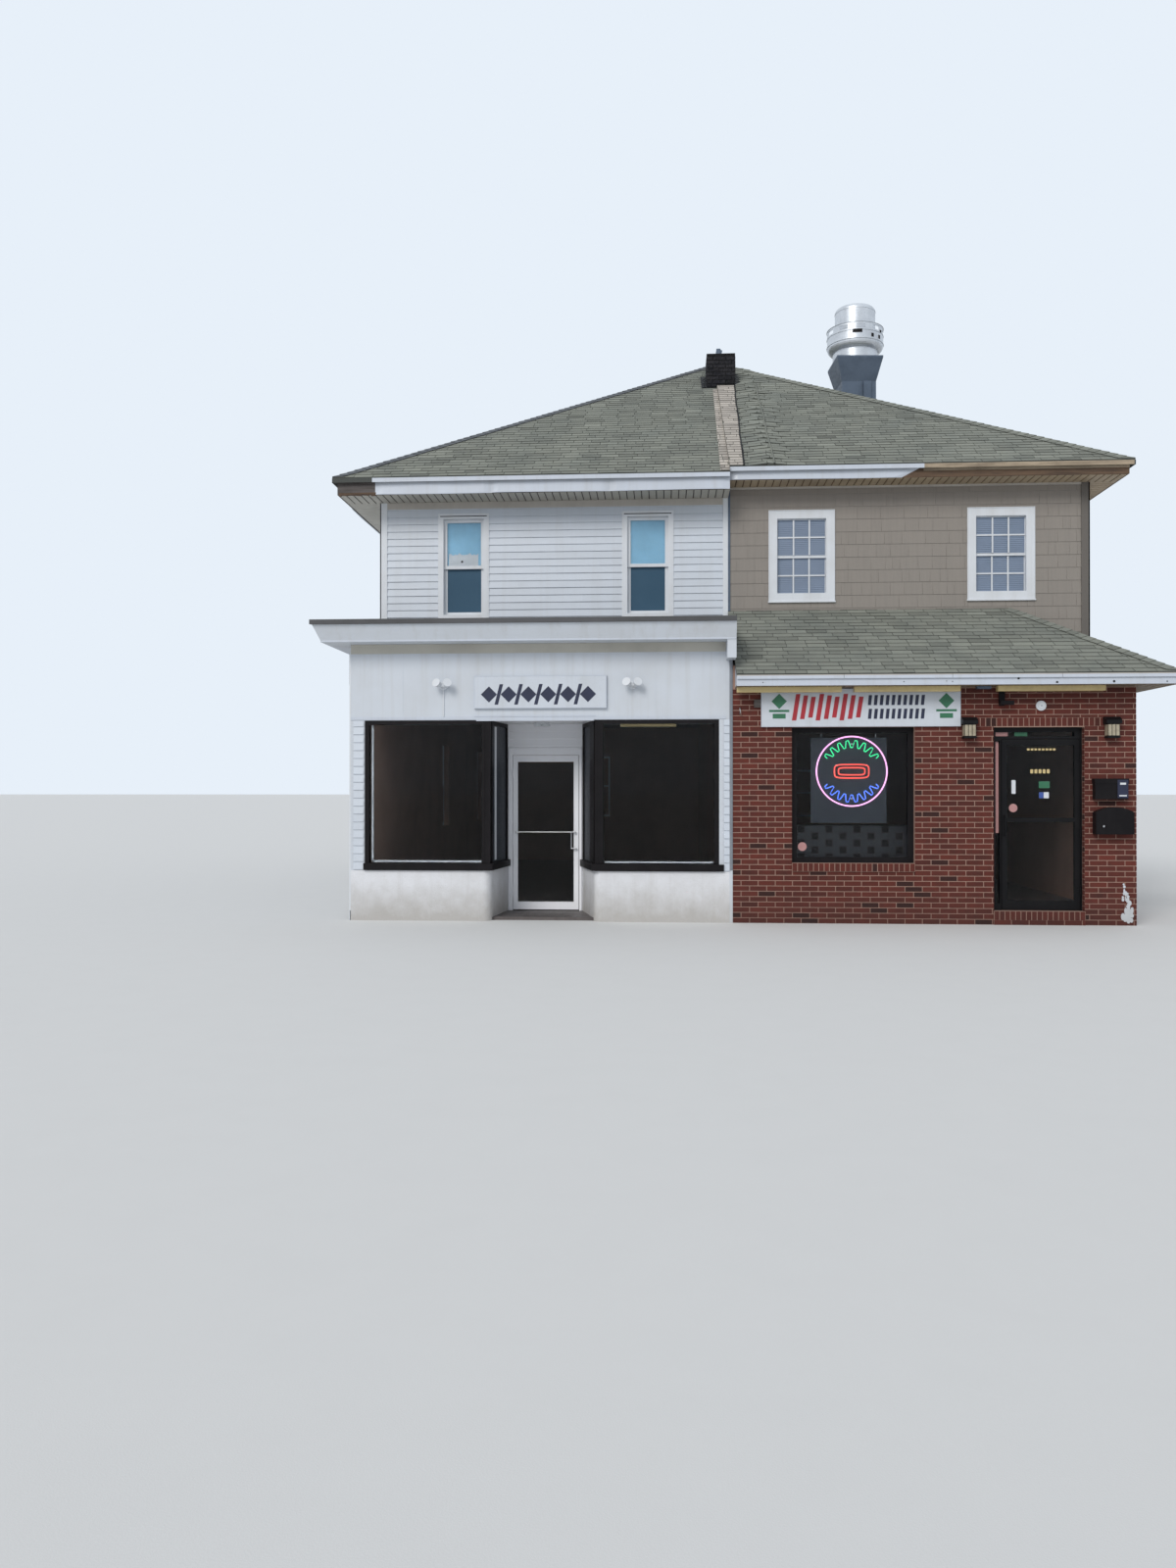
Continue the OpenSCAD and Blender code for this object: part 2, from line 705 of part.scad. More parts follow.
// A wall strip from p to q, its thickness t on the left of that way
function strip(p, q, t) = let (d = (q - p) / norm(q - p), n = [-d[1], d[0]] * t)
    [p, q, q + n, p + n];
module shop_side_wall(y0, top)
    along_x(in_x, unit_w, [[y0, 0], [house_y - fit, 0], [house_y - fit, top[1]], [y0, top[0]]]);
module shop_side_wall_left() color("white") mirror([1, 0, 0])
    shop_side_wall(front_t + fit, [flat_z(front_t), flat_z(house_y)] - [1, 1] * (flat_t + fit));
module shop_side_wall_right() color("firebrick")
    shop_side_wall(brick_t + fit, [1, 1] * (pent_deck_z - fit));

// One riser with its return along the recess, drawn for a recess on its right,
// and the quarter round at their corner
module stall_riser(outer_x, line) {
    p = line[0];
    d = (line[1] - p) / norm(line[1] - p);
    centre = [p[0] - riser_round * (1 - d[0]) / d[1], riser_round];
    touch = centre + riser_round * [d[1], -d[0]];
    difference() {
        union() {
            block([outer_x, 0, 0], [p[0], front_t, riser_z]);
            upright(floor_left_z + fit, riser_z, strip(p + [0, 1], line[1], return_t));
        }
        upright(-cut, riser_z + cut, [[centre[0], -cut], [p[0] + cut, -cut], [p[0] + cut, touch[1]],
            touch, centre]);
    }
    intersection() {
        translate([centre[0], centre[1], 0]) cylinder(h = riser_z, r = riser_round);
        block([centre[0], 0, 0], [p[0] + riser_round, riser_round, riser_z]);
    }
}
module stall_risers() color("white") {
    stall_riser(-unit_w, recess_l);
    mirror([1, 0, 0]) stall_riser(end_trim, recess_m);
}
module display_decks() color("burlywood") {
    y0 = front_t + fit;
    y1 = recess_d - fit;
    z0 = riser_z - deck_t;
    inner = return_t * 1.03;
    upright(z0, riser_z, [[-in_x, y0], line_at(recess_l, y0) - [inner, 0],
        line_at(recess_l, y1) - [inner, 0], [-in_x, y1]]);
    upright(z0, riser_z, [[-party_x - fit, y0], [-party_x - fit, y1],
        line_at(recess_r, y1) + [inner, 0], line_at(recess_r, y0) + [inner, 0]]);
}
module display_frame(x0, x1, left_bar, right_bar) {
    mid = (x0 + x1) / 2;
    translate([mid, 0, riser_z + fit])
        ring(x1 - x0, frame_h, [left_bar, right_bar, frame_sill_h, frame_head_h], 0, frame_d);
}
module on_return(line) {
    p = line_at(line, frame_d + fit);
    q = line[1];
    translate([p[0], p[1], riser_z + fit]) rotate([0, 0, atan2(q[1] - p[1], q[0] - p[0])]) children();
}
function return_l(line) = norm(line[1] - line_at(line, frame_d + fit));
module return_frame(line, board)
    on_return(line) translate([return_l(line) / 2, 0, 0])
        ring(return_l(line), frame_h, [board, frame_w, frame_sill_h, frame_head_h], 0, return_t - 10);
module return_pane(line, board)
    on_return(line) block([board + fit, (return_t - 10) / 2 - glass_t, frame_sill_h + fit],
        [return_l(line) - frame_w - fit, (return_t - 10) / 2 + glass_t, frame_h - frame_head_h - fit]);

// Projecting sill from a display's outer end round to the recess's rear corner
sill_past = [10, 58];
sill_lap = 20;
sill_edge = 5;
module sill(outer_x, past, line)
    translate([0, 0, riser_z + fit + sill_edge]) linear_extrude(frame_sill_h - 2 * sill_edge)
        polygon([[outer_x - past, -fit], [outer_x - past, -sill_nose], line[0] + [sill_nose, -sill_nose],
            line[1] + [sill_nose, -joint], line[1] + [-sill_lap, -joint], line[0] + [-sill_lap, sill_lap],
            [outer_x + sill_lap, sill_lap], [outer_x, -fit]]);
module display_frames() color("#161616") {
    display_frame(-display_a, -display_b, frame_w, post_w);
    display_frame(-display_c, -display_d, post_w, frame_w);
    return_frame(recess_l, frame_w);
    mirror([1, 0, 0]) return_frame(recess_m, return_board);
    sill(-display_a, sill_past[0], recess_l);
    mirror([1, 0, 0]) sill(display_d, sill_past[1], recess_m);
}
module display_pane(x0, x1, y)
    block([x0 + fit, y, riser_z + fit + frame_sill_h + fit],
        [x1 - fit, y + glass_t * 2, head_z - frame_head_h - 2 * fit]);
module display_glass() color("lightblue", 0.4) {
    display_pane(-display_a + frame_w, -display_b - post_w, frame_d / 2);
    display_pane(-display_c + post_w, -display_d - frame_w, frame_d / 2);
    return_pane(recess_l, frame_w);
    mirror([1, 0, 0]) return_pane(recess_m, return_board);
}
module shop_piers() color("white") {
    block([-unit_w, 0, riser_z + fit], [-display_a - fit, front_t, head_z - fit]);
    block([-display_d + fit, 0, riser_z + fit], [-end_trim, front_t, head_z - fit]);
}
module signboard_wall() color("white")
    block([-unit_w, 0, head_z], [-end_trim, front_t, flat_z(0) - flat_t - fit]);

// Ceiling over the recess and both display bays
module recess_ceiling() color("white")
    block([fit - in_x, front_t + fit, head_z], [-party_x - fit, recess_d + jamb_d, head_z + deck_t]);
module door_head_panel() color("white")
    block([-recess_a, recess_d, left_frame_h + fit], [-recess_b, recess_d + jamb_d, head_z - fit]);

// Cornice over the left shop front and its return on the side
module cornice_solid(low, out, z0, z1)
    intersection() {
        along_x(0, unit_w + out, [[-low, z0], [house_y - fit, z0], [house_y - fit, z1], [-out, z1]]);
        along_y(-out, house_y - fit, [[0, z0], [unit_w + low, z0], [unit_w + out, z1], [0, z1]]);
    }
module cornice() color("white") mirror([1, 0, 0]) {
    lean = (cornice_out - cornice_low) / cornice_h;
    z1 = cornice_top_z - flat_t - fit;
    out1 = cornice_low + lean * (z1 - cornice_z);
    in1 = out1 - cornice_t + lean * cut;
    difference() {
        cornice_solid(cornice_low, out1, cornice_z, z1);
        for (x = [-cut, 0]) translate([x, 0, 0])
            cornice_solid(cornice_low - cornice_t, in1, cornice_z + cornice_t, z1 + cut);
        block([-cut, -fit, cornice_z - cut], [unit_w + fit, house_y + cut, z1 + cut]);
    }
    along_x(0, cap_w, [[-cornice_low, cornice_z - cap_drop], [-fit, cornice_z - cap_drop], [-fit, z1],
        [-out1, z1], [-cornice_low, cornice_z]]);
}
module flat_roof() color("gray") mirror([1, 0, 0])
    along_x(0, unit_w + cornice_out, [[-cornice_out, flat_z(-cornice_out) - flat_t],
        [house_y - fit, flat_z(house_y) - flat_t], [house_y - fit, flat_z(house_y)],
        [-cornice_out, flat_z(-cornice_out)]]);

// Door frame, leaf, glass and hinges, drawn with the hinge on the left at x = 0,
// the leaf's outer face at y = 0 and its foot at z = 0
knuckle_r = 8;
knuckle_h = 40;
hinge_plate = [34, 3];
axis_y = -(knuckle_r + 0.5);
function hinge_z(h) = [180, h * 0.42, h - 300];
module knuckle(z, h) translate([-leaf_gap / 2, axis_y, z]) cylinder(h = h, r = knuckle_r, $fn = 24);

// Glazed stretches of a leaf: rails are [bottom, top], mid is a rail's [centre, height] or none
function leaf_zones(h, rails, mid) = mid[1] > 0
    ? [[rails[0], mid[0] - mid[1] / 2], [mid[0] + mid[1] / 2, h - rails[1]]]
    : [[rails[0], h - rails[1]]];
module leaf_frame(w, h, stile, rails, mid) {
    difference() {
        block([0, 0, 0], [w, leaf_t, h]);
        for (zone = leaf_zones(h, rails, mid))
            block([stile, -cut, zone[0]], [w - stile, leaf_t + cut, zone[1]]);
    }
    for (z = hinge_z(h)) {
        knuckle(z + knuckle_h + fit, knuckle_h);
        block([-leaf_gap / 2, -knuckle_r, z + knuckle_h + fit],
            [hinge_plate[0], -knuckle_r + hinge_plate[1], z + 2 * knuckle_h + fit]);
        block([hinge_plate[0] - hinge_plate[1], -knuckle_r, z + knuckle_h + fit],
            [hinge_plate[0], 1, z + 2 * knuckle_h + fit]);
    }
}
module leaf_panes(w, h, stile, rails, mid)
    for (zone = leaf_zones(h, rails, mid))
        block([stile + fit, leaf_t / 2 - glass_t, zone[0] + fit],
            [w - stile - fit, leaf_t / 2 + glass_t, zone[1] - fit]);

// Round bar from x0 to x1 before a leaf's face, on a stand-off at each end
grip_r = 9;
module push_bar(x0, x1, z, out) {
    translate([x0, -out, z]) rotate([0, 90, 0]) cylinder(h = x1 - x0, r = grip_r, $fn = 24);
    for (x = [x0 + grip_r, x1 - grip_r])
        translate([x, -fit, z]) rotate([90, 0, 0]) cylinder(h = out - fit, r = grip_r, $fn = 24);
}
module pull_handle(x, z0, z1, out) {
    translate([x, -out, z0]) cylinder(h = z1 - z0, r = grip_r, $fn = 24);
    for (z = [z0 + grip_r, z1 - grip_r])
        translate([x, -fit, z]) rotate([90, 0, 0]) cylinder(h = out - fit, r = grip_r, $fn = 24);
}
module jamb_set(w, h, hinge_w, lock_w, head_h, depth, foot) {
    left_x = -leaf_gap - hinge_w;
    right_x = w + lock_gap + lock_w;
    plate_w = min(hinge_plate[0], hinge_w - 2);
    difference() {
        block([left_x, 0, -foot], [right_x, depth, h + leaf_gap + head_h]);
        block([-leaf_gap, -cut, -foot - cut], [w + lock_gap, depth + cut, h + leaf_gap]);
    }
    for (z = hinge_z(h)) for (part_z = [z, z + 2 * (knuckle_h + fit)]) {
        knuckle(part_z, knuckle_h);
        block([-leaf_gap - plate_w, -knuckle_r, part_z],
            [-leaf_gap / 2, -knuckle_r + hinge_plate[1], part_z + knuckle_h]);
        block([-leaf_gap - plate_w, -knuckle_r, part_z],
            [-leaf_gap - plate_w + hinge_plate[1], 1, part_z + knuckle_h]);
    }
}

// Left door, hinged on its left
left_hinge_x = -recess_a + fit + left_jamb + leaf_gap;
left_lock_jamb = recess_a - recess_b - 2 * fit - left_jamb - leaf_gap - left_leaf_w - lock_gap;
left_rails = [left_bottom_rail, left_top_rail];
bar_out = 38;
bar_past = 30;
pull_in = 32;
pull_drop = 220;
module on_left_door() translate([left_hinge_x, recess_d, left_leaf_z]) children();
module left_door_frame() color("white") on_left_door()
    jamb_set(left_leaf_w, left_leaf_h, left_jamb, left_lock_jamb, left_head_h, jamb_d,
        left_leaf_z - floor_left_z - fit);
module left_door() color("white") on_left_door()
    leaf_frame(left_leaf_w, left_leaf_h, left_stile, left_rails, [0, 0]);
module left_door_glass() color("lightblue", 0.4) on_left_door()
    leaf_panes(left_leaf_w, left_leaf_h, left_stile, left_rails, [0, 0]);

// Push bars on both faces, with a bent pull that hangs from the outer one
module left_door_handle() color("silver") on_left_door() {
    x0 = left_stile - bar_past;
    x1 = left_leaf_w - left_stile + bar_past;
    pull_x = left_leaf_w - left_stile - pull_in;
    foot_x = left_leaf_w - left_stile / 2;
    foot_z = push_bar_z - pull_drop;
    push_bar(x0, x1, push_bar_z, bar_out);
    translate([0, leaf_t, 0]) mirror([0, 1, 0]) push_bar(x0, x1, push_bar_z, bar_out);
    translate([pull_x, -bar_out, foot_z - grip_r]) cylinder(h = pull_drop + grip_r, r = grip_r, $fn = 24);
    translate([pull_x, -bar_out, foot_z]) rotate([0, 90, 0])
        cylinder(h = foot_x - pull_x + grip_r, r = grip_r, $fn = 24);
    translate([foot_x, -fit, foot_z]) rotate([90, 0, 0]) cylinder(h = bar_out - fit, r = grip_r, $fn = 24);
}

// Brick front of the right shop
brick_x0 = -30;
sill_in = 120;
pent_deck_z = pent_z(0) - pent_t;
brick_top_z = pent_deck_z - fit;
module brick_wall() color("firebrick") difference() {
    block([brick_x0, 0, 0], [bdoor_x - fit, brick_t, brick_top_z]);
    block([bwin_x, -cut, bwin_z], [bwin_x + bwin_w, brick_t + cut, bwin_z + bwin_h]);
    block([bwin_x, -cut, bwin_z - sill_h - fit], [bwin_x + bwin_w, sill_in, bwin_z + fit]);
}
module brick_pier() color("firebrick")
    block([bdoor_x1 + fit, 0, 0], [unit_w, brick_t, brick_top_z]);
module brick_over_door() color("firebrick")
    block([bdoor_x, 0, bdoor_top + fit], [bdoor_x1, brick_t, brick_top_z]);
module brick_sills() color("indianred") {
    block([bwin_x + fit, -sill_out, bwin_z - sill_h], [bwin_x + bwin_w - fit, sill_in - fit, bwin_z - fit]);
    block([bdoor_x, -sill_out, 0], [bdoor_x1, brick_t - fit, bdoor_z]);
}
bwin_y = 70;
bwin_d = 70;
module brick_window_frame() color("#161616")
    translate([bwin_x + bwin_w / 2, 0, bwin_z + fit])
        ring(bwin_w - 2 * fit, bwin_h - 2 * fit, [1, 1, 1, 1] * bwin_frame, bwin_y, bwin_y + bwin_d);

// Right door, hinged on its right, with a side light on its left and a narrow pane over it
right_hinge_x = bdoor_x1 - fit - right_jamb - leaf_gap;
right_lock_jamb = bdoor_w - 2 * fit - right_jamb - leaf_gap - right_leaf_w - lock_gap;
right_rails = [right_bottom_rail, right_top_rail];
right_mid = [right_mid_z, right_mid_rail];
side_z = [76, right_leaf_h - 22];
side_x = [right_leaf_w + lock_gap + side_mullion_w,
    right_leaf_w + lock_gap + right_lock_jamb - side_bar_w];
transom_z = right_leaf_h + leaf_gap + 30;
module on_right_door() translate([right_hinge_x, right_leaf_y, right_leaf_z]) mirror([1, 0, 0]) children();

// The fixed openings of the right frame, drawn in by a margin from depth y0 to y1
module fixed_lights(margin, y0, y1) {
    block([side_x[0] + margin, y0, side_z[0] + margin], [side_x[1] - margin, y1, side_z[1] - margin]);
    block([right_stile + margin, y0, transom_z + margin],
        [side_x[1] - margin, y1, transom_z + transom_h - margin]);
}
module right_door_frame() color("#1c1712") on_right_door() difference() {
    jamb_set(right_leaf_w, right_leaf_h, right_jamb, right_lock_jamb, right_head_h, jamb_d,
        right_leaf_z - bdoor_z - fit);
    fixed_lights(0, -cut, jamb_d + cut);
}
module brick_window_glass() color("lightblue", 0.4) {
    inset = bwin_frame + 2 * fit;
    block([bwin_x + inset, bwin_y + bwin_d / 2 - glass_t, bwin_z + inset],
        [bwin_x + bwin_w - inset, bwin_y + bwin_d / 2 + glass_t, bwin_z + bwin_h - inset]);
    on_right_door() fixed_lights(fit, jamb_d / 2 - glass_t, jamb_d / 2 + glass_t);
}
module right_door() color("#1c1712") on_right_door()
    leaf_frame(right_leaf_w, right_leaf_h, right_stile, right_rails, right_mid);
module right_door_glass() color("lightblue", 0.4) on_right_door()
    leaf_panes(right_leaf_w, right_leaf_h, right_stile, right_rails, right_mid);
module right_door_handle() color("#1c1712") on_right_door() {
    x = right_leaf_w - right_stile / 2;
    z = [right_mid_z - 200, right_mid_z + 60];
    pull_handle(x, z[0], z[1], bar_out);
    translate([0, leaf_t, 0]) mirror([0, 1, 0]) pull_handle(x, z[0], z[1], bar_out);
}

// Pent roof over the brick front
module pent_solid(lift, extra, base_z) {
    front_y = -pent_out - pent_drip - extra;
    side_x = pent_side_x + pent_drip + extra;
    end_z = pent_eave_z - pent_end_slope * (pent_drip + extra);
    intersection() {
        along_x(0, side_x, [[front_y, base_z], [house_y - fit, base_z],
            [house_y - fit, pent_top_z + lift], [front_y, pent_z(front_y) + lift]]);
        along_y(front_y, house_y - fit, [[0, base_z], [side_x, base_z], [side_x, end_z + lift],
            [pent_ridge, pent_top_z + lift], [0, pent_top_z + lift]]);
    }
}
module pent_roof() color("slategray") {
    base_z = pent_eave_z - pent_end_slope * pent_drip - pent_t;
    difference() {
        pent_solid(0, 0, base_z);
        translate([-cut, 0, 0]) pent_solid(-pent_t, cut, base_z - cut);
        pent_solid(-pent_t, cut, base_z - cut);
        translate([0, cut, 0]) pent_solid(-pent_t, cut, base_z - cut);
    }
}
pent_fascia_top = pent_eave_z - pent_t - fit;
module pent_fascia() color("white") {
    block([0, -pent_out, pent_soffit_z], [pent_side_x, -pent_out + fascia_t, pent_fascia_top]);
    along_x(0, fascia_t, [[-pent_out + fascia_t + fit, pent_soffit_z + soffit_t + fit],
        [-fit, pent_soffit_z + soffit_t + fit], [-fit, pent_z(-fit) - pent_t - fit],
        [-pent_out + fascia_t + fit, pent_z(-pent_out + fascia_t + fit) - pent_t - fit]]);
    block([pent_side_x - fascia_t, -pent_out + fascia_t + joint, pent_soffit_z],
        [pent_side_x, house_y - fit, pent_fascia_top]);
}
module pent_soffit() color("tan") {
    out_x = pent_side_x - fascia_t - fit;
    high_z = pent_soffit_z + soffit_t;
    block([0, -pent_out + fascia_t + fit, pent_soffit_z], [out_x, -fit, high_z]);
    block([unit_w + fit, -fit + joint, pent_soffit_z], [out_x, house_y - fit, high_z]);
}
strip_y = -240;
window_light_x = -1455;
window_light_y = 330;
module strip_light(x, y, l, top_z)
    block([x, y, top_z - strip_h], [x + l, y + strip_w, top_z - fit]);
module strip_lights() color("khaki") {
    for (x = strip_x) strip_light(x, strip_y, strip_l, pent_soffit_z);
    strip_light(window_light_x, window_light_y, window_light_l, head_z);
}

// Signs and fittings on the fronts
module sign(x, z, w, h) block([x, -sign_t - fit, z], [x + w, -fit, z + h]);
sign_gap = 15;
sign_right_w = bdoor_x - lantern_off - lantern_w / 2 - sign_right_gap - sign_right_x;
module sign_panels() color("white") {
    sign(sign_right_x, pent_soffit_z - sign_gap - sign_right_h, sign_right_w, sign_right_h);
    sign(-sign_left_x, head_z + sign_left_up, sign_left_w, sign_left_h);
}
flood_r = [28, 55];
flood_l = 110;
module floodlights() color("white")
    for (x = flood_x) translate([-x, 0, flood_z]) {
        translate([0, -fit, 0]) rotate([90, 0, 0]) cylinder(h = 40, r = 50);
        translate([-60, -100, -10]) cube([120, 70, 25]);
        for (side = [-1, 1]) translate([side * 55, -90, 20]) rotate([70, 0, side * 20])
            cylinder(h = flood_l, r1 = flood_r[0], r2 = flood_r[1], center = true);
    }

// Box lanterns: foot, body and sloping cap, on a plate against the brick
lantern_foot_h = 20;
lantern_body = [150, 155];
lantern_cap_h = 85;
module wall_lanterns() color("dimgray")
    for (x = [bdoor_x - lantern_off, bdoor_x1 + lantern_off]) translate([x, 0, bdoor_top - lantern_down]) {
        half = lantern_body[0] / 2;
        cap_z = lantern_foot_h + lantern_body[1];
        top_z = cap_z + lantern_cap_h;
        block([-half, -130, 0], [half, -fit, lantern_foot_h]);
        block([-half + 5, -120, lantern_foot_h - 1], [half - 5, -fit, cap_z + 1]);
        along_x(-lantern_w / 2, lantern_w / 2,
            [[-fit, cap_z], [-140, cap_z], [-140, cap_z + lantern_cap_h / 2], [-70, top_z], [-fit, top_z]]);
    }

// Upper mailbox with an overhanging lid, and a lower one with an arched top and a knob
lid_over = 8;
lid_h = 60;
low_box_rise = 63;
low_box_d = 130;
module mailboxes() color("#101010") translate([bdoor_x1 + mailbox_off, 0, 0]) {
    block([0, -100, mailbox_z], [mailbox_w, -fit, mailbox_z + mailbox_h - lid_h + 1]);
    block([-lid_over, -100 - lid_over, mailbox_z + mailbox_h - lid_h],
        [mailbox_w + lid_over, -fit, mailbox_z + mailbox_h]);
    arch_r = (pow(low_box_w / 2, 2) + pow(low_box_rise, 2)) / (2 * low_box_rise);
    intersection() {
        block([0, -low_box_d, low_box_z], [low_box_w, -fit, low_box_z + low_box_h]);
        translate([low_box_w / 2, 0, low_box_z + low_box_h - arch_r]) rotate([90, 0, 0])
            cylinder(h = low_box_d + cut, r = arch_r, $fn = 160);
    }
    translate([low_box_w / 4, -low_box_d + 1, low_box_z + low_box_h / 3]) rotate([90, 0, 0])
        cylinder(h = 16, r = 14, $fn = 24);
}

shop_floors();
upper_floors();
ceilings();
party_wall();
shop_party_wall();
side_wall_left();
side_wall_right();
shop_side_wall_left();
shop_side_wall_right();
rear_wall_left();
rear_wall_right();
upper_front_wall_left();
upper_front_wall_right();
roof_left();
roof_right();
fascia_left();
fascia_right();
soffit_left();
soffit_right();
chimney();
exhaust_duct();
exhaust_fan();
window_frames_left();
window_frames_right();
window_glass();
stall_risers();
display_decks();
display_frames();
display_glass();
shop_piers();
signboard_wall();
recess_ceiling();
door_head_panel();
left_door_frame();
left_door();
left_door_glass();
left_door_handle();
cornice();
flat_roof();
brick_wall();
brick_pier();
brick_over_door();
brick_sills();
brick_window_frame();
brick_window_glass();
right_door_frame();
right_door();
right_door_glass();
right_door_handle();
pent_roof();
pent_fascia();
pent_soffit();
strip_lights();
sign_panels();
floodlights();
wall_lanterns();
mailboxes();
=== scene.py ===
"""Looks of two small corner shops under one hip roof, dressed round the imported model.

Walls get lap siding, shakes or bricks, the roofs get tab shingles, and the fronts get their trim.
"""
import math

import bpy
import numpy as np
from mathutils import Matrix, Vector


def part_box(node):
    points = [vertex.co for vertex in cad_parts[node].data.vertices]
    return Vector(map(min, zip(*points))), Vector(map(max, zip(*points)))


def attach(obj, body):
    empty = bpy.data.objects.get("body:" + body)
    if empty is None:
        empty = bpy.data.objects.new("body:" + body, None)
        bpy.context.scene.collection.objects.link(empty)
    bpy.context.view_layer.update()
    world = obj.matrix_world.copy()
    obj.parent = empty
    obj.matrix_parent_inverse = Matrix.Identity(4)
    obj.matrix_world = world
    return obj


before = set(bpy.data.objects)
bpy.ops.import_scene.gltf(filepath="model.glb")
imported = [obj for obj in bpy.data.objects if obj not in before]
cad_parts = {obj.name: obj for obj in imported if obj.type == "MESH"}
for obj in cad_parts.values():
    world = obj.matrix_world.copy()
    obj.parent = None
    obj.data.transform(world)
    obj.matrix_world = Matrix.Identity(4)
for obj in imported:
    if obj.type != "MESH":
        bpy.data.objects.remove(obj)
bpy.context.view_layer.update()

UP = np.array([0.0, 0.0, 1.0])


def low(node):
    """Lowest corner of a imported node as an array."""
    return np.array(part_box(node)[0])


def high(node):
    """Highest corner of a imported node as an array."""
    return np.array(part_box(node)[1])


def node_points(node_name):
    """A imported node's vertices as rows of x, y and z."""
    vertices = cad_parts[node_name].data.vertices
    points = np.empty(3 * len(vertices), np.float32)
    vertices.foreach_get("co", points)
    return points.reshape(-1, 3).astype(float)


# Planes of the building, read from the frame
UNIT = high("side_wall_right")[0]
HOUSE_Y = low("side_wall_left")[1]
REAR_Y = high("side_wall_left")[1]
SOFFIT_L = low("soffit_left")[2]
SOFFIT_R = low("soffit_right")[2]
HEAD_Z = high("display_frames")[2]
RISER_Z = high("stall_risers")[2]
RECESS_Y = low("door_head_panel")[1]


# Camera, at the photograph's place across the street
def place_camera():
    data = bpy.data.cameras.new("street_camera")
    data.sensor_width = 36.0
    data.lens = 27.225
    camera = bpy.data.objects.new("street_camera", data)
    camera.location = (-0.886, -14.98, 1.67)
    camera.rotation_euler = (math.radians(90.28), 0.0, math.radians(3.69))
    bpy.context.scene.collection.objects.link(camera)
    bpy.context.scene.camera = camera


place_camera()


# Node groups that several materials share
def new_group(name, inputs, outputs):
    """A shader node group with named sockets: inputs and outputs are (name, kind, default)."""
    group = bpy.data.node_groups.new(name, "ShaderNodeTree")
    for label, kind, default in inputs:
        socket = group.interface.new_socket(label, in_out="INPUT", socket_type="NodeSocket" + kind)
        if default is not None:
            socket.default_value = default
    for label, kind in outputs:
        group.interface.new_socket(label, in_out="OUTPUT", socket_type="NodeSocket" + kind)
    start = group.nodes.new("NodeGroupInput")
    end = group.nodes.new("NodeGroupOutput")
    return group, start, end


def node(tree, kind, settings=None, inputs=None):
    """Adds a node; inputs maps a socket's name or number to a value or to another socket."""
    made = tree.nodes.new("ShaderNode" + kind)
    for key, value in (settings or {}).items():
        setattr(made, key, value)
    for key, value in (inputs or {}).items():
        socket = made.inputs[key]
        if isinstance(value, bpy.types.NodeSocket):
            tree.links.new(value, socket)
        else:
            socket.default_value = value
    return made


def mix_colour(tree, factor, one, two, blend="MIX"):
    made = node(tree, "Mix", {"data_type": "RGBA", "blend_type": blend}, {0: factor, 6: one, 7: two})
    return made.outputs[2]


def math_node(tree, operation, one, two=0.0):
    return node(tree, "Math", {"operation": operation}, {0: one, 1: two}).outputs[0]


def ramp_value(tree, value, from_low, from_high):
    """Maps value from the given range to 0..1, clamped."""
    return node(tree, "MapRange", {}, {0: value, 1: from_low, 2: from_high}).outputs[0]


def noise_value(tree, vector, scale, detail=5.0, rough=0.55):
    made = node(tree, "TexNoise", {}, {"Vector": vector, "Scale": scale, "Detail": detail, "Roughness": rough})
    return made.outputs["Fac"]


def weather_group():
    """Mottling, upright run marks and splashed dirt near the ground, mixed over a colour."""
    group, start, end = new_group(
        "weather",
        [("Vector", "Vector", None), ("Colour", "Color", (1, 1, 1, 1)), ("Stain", "Color", (0, 0, 0, 1)),
         ("Scale", "Float", 3.0), ("Mottle", "Float", 0.3), ("Runs", "Float", 0.2), ("Splash", "Float", 0.0)],
        [("Colour", "Color")])
    spot = noise_value(group, start.outputs["Vector"], start.outputs["Scale"], 7.0, 0.62)
    spot = ramp_value(group, spot, 0.42, 0.68)
    spot = math_node(group, "MULTIPLY", spot, start.outputs["Mottle"])
    narrow = node(group, "Mapping", {}, {"Vector": start.outputs["Vector"], "Scale": (9.0, 9.0, 0.35)})
    run = noise_value(group, narrow.outputs[0], 1.0, 4.0, 0.6)
    run = math_node(group, "MULTIPLY", ramp_value(group, run, 0.5, 0.75), start.outputs["Runs"])
    height = node(group, "SeparateXYZ", {}, {0: start.outputs["Vector"]}).outputs["Z"]
    edge = noise_value(group, start.outputs["Vector"], 5.0, 6.0, 0.7)
    level = math_node(group, "SUBTRACT", height, math_node(group, "MULTIPLY", edge, 0.5))
    splash = math_node(group, "SUBTRACT", 1.0, ramp_value(group, level, -0.2, 0.25))
    splash = math_node(group, "MULTIPLY", splash, start.outputs["Splash"])
    colour = mix_colour(group, spot, start.outputs["Colour"], start.outputs["Stain"])
    colour = mix_colour(group, run, colour, start.outputs["Stain"])
    colour = mix_colour(group, splash, colour, start.outputs["Stain"])
    group.links.new(colour, end.inputs["Colour"])
    return group


def grain_group():
    """Fine relief: noise at a named scale pushed through a bump."""
    group, start, end = new_group(
        "grain", [("Vector", "Vector", None), ("Scale", "Float", 150.0), ("Strength", "Float", 0.3),
                  ("Depth", "Float", 0.002)],
        [("Normal", "Vector"), ("Height", "Float")])
    fine = noise_value(group, start.outputs["Vector"], start.outputs["Scale"], 4.0, 0.6)
    bump = node(group, "Bump", {}, {"Strength": start.outputs["Strength"], "Distance": start.outputs["Depth"],
                                    "Height": fine})
    group.links.new(bump.outputs[0], end.inputs["Normal"])
    group.links.new(fine, end.inputs["Height"])
    return group


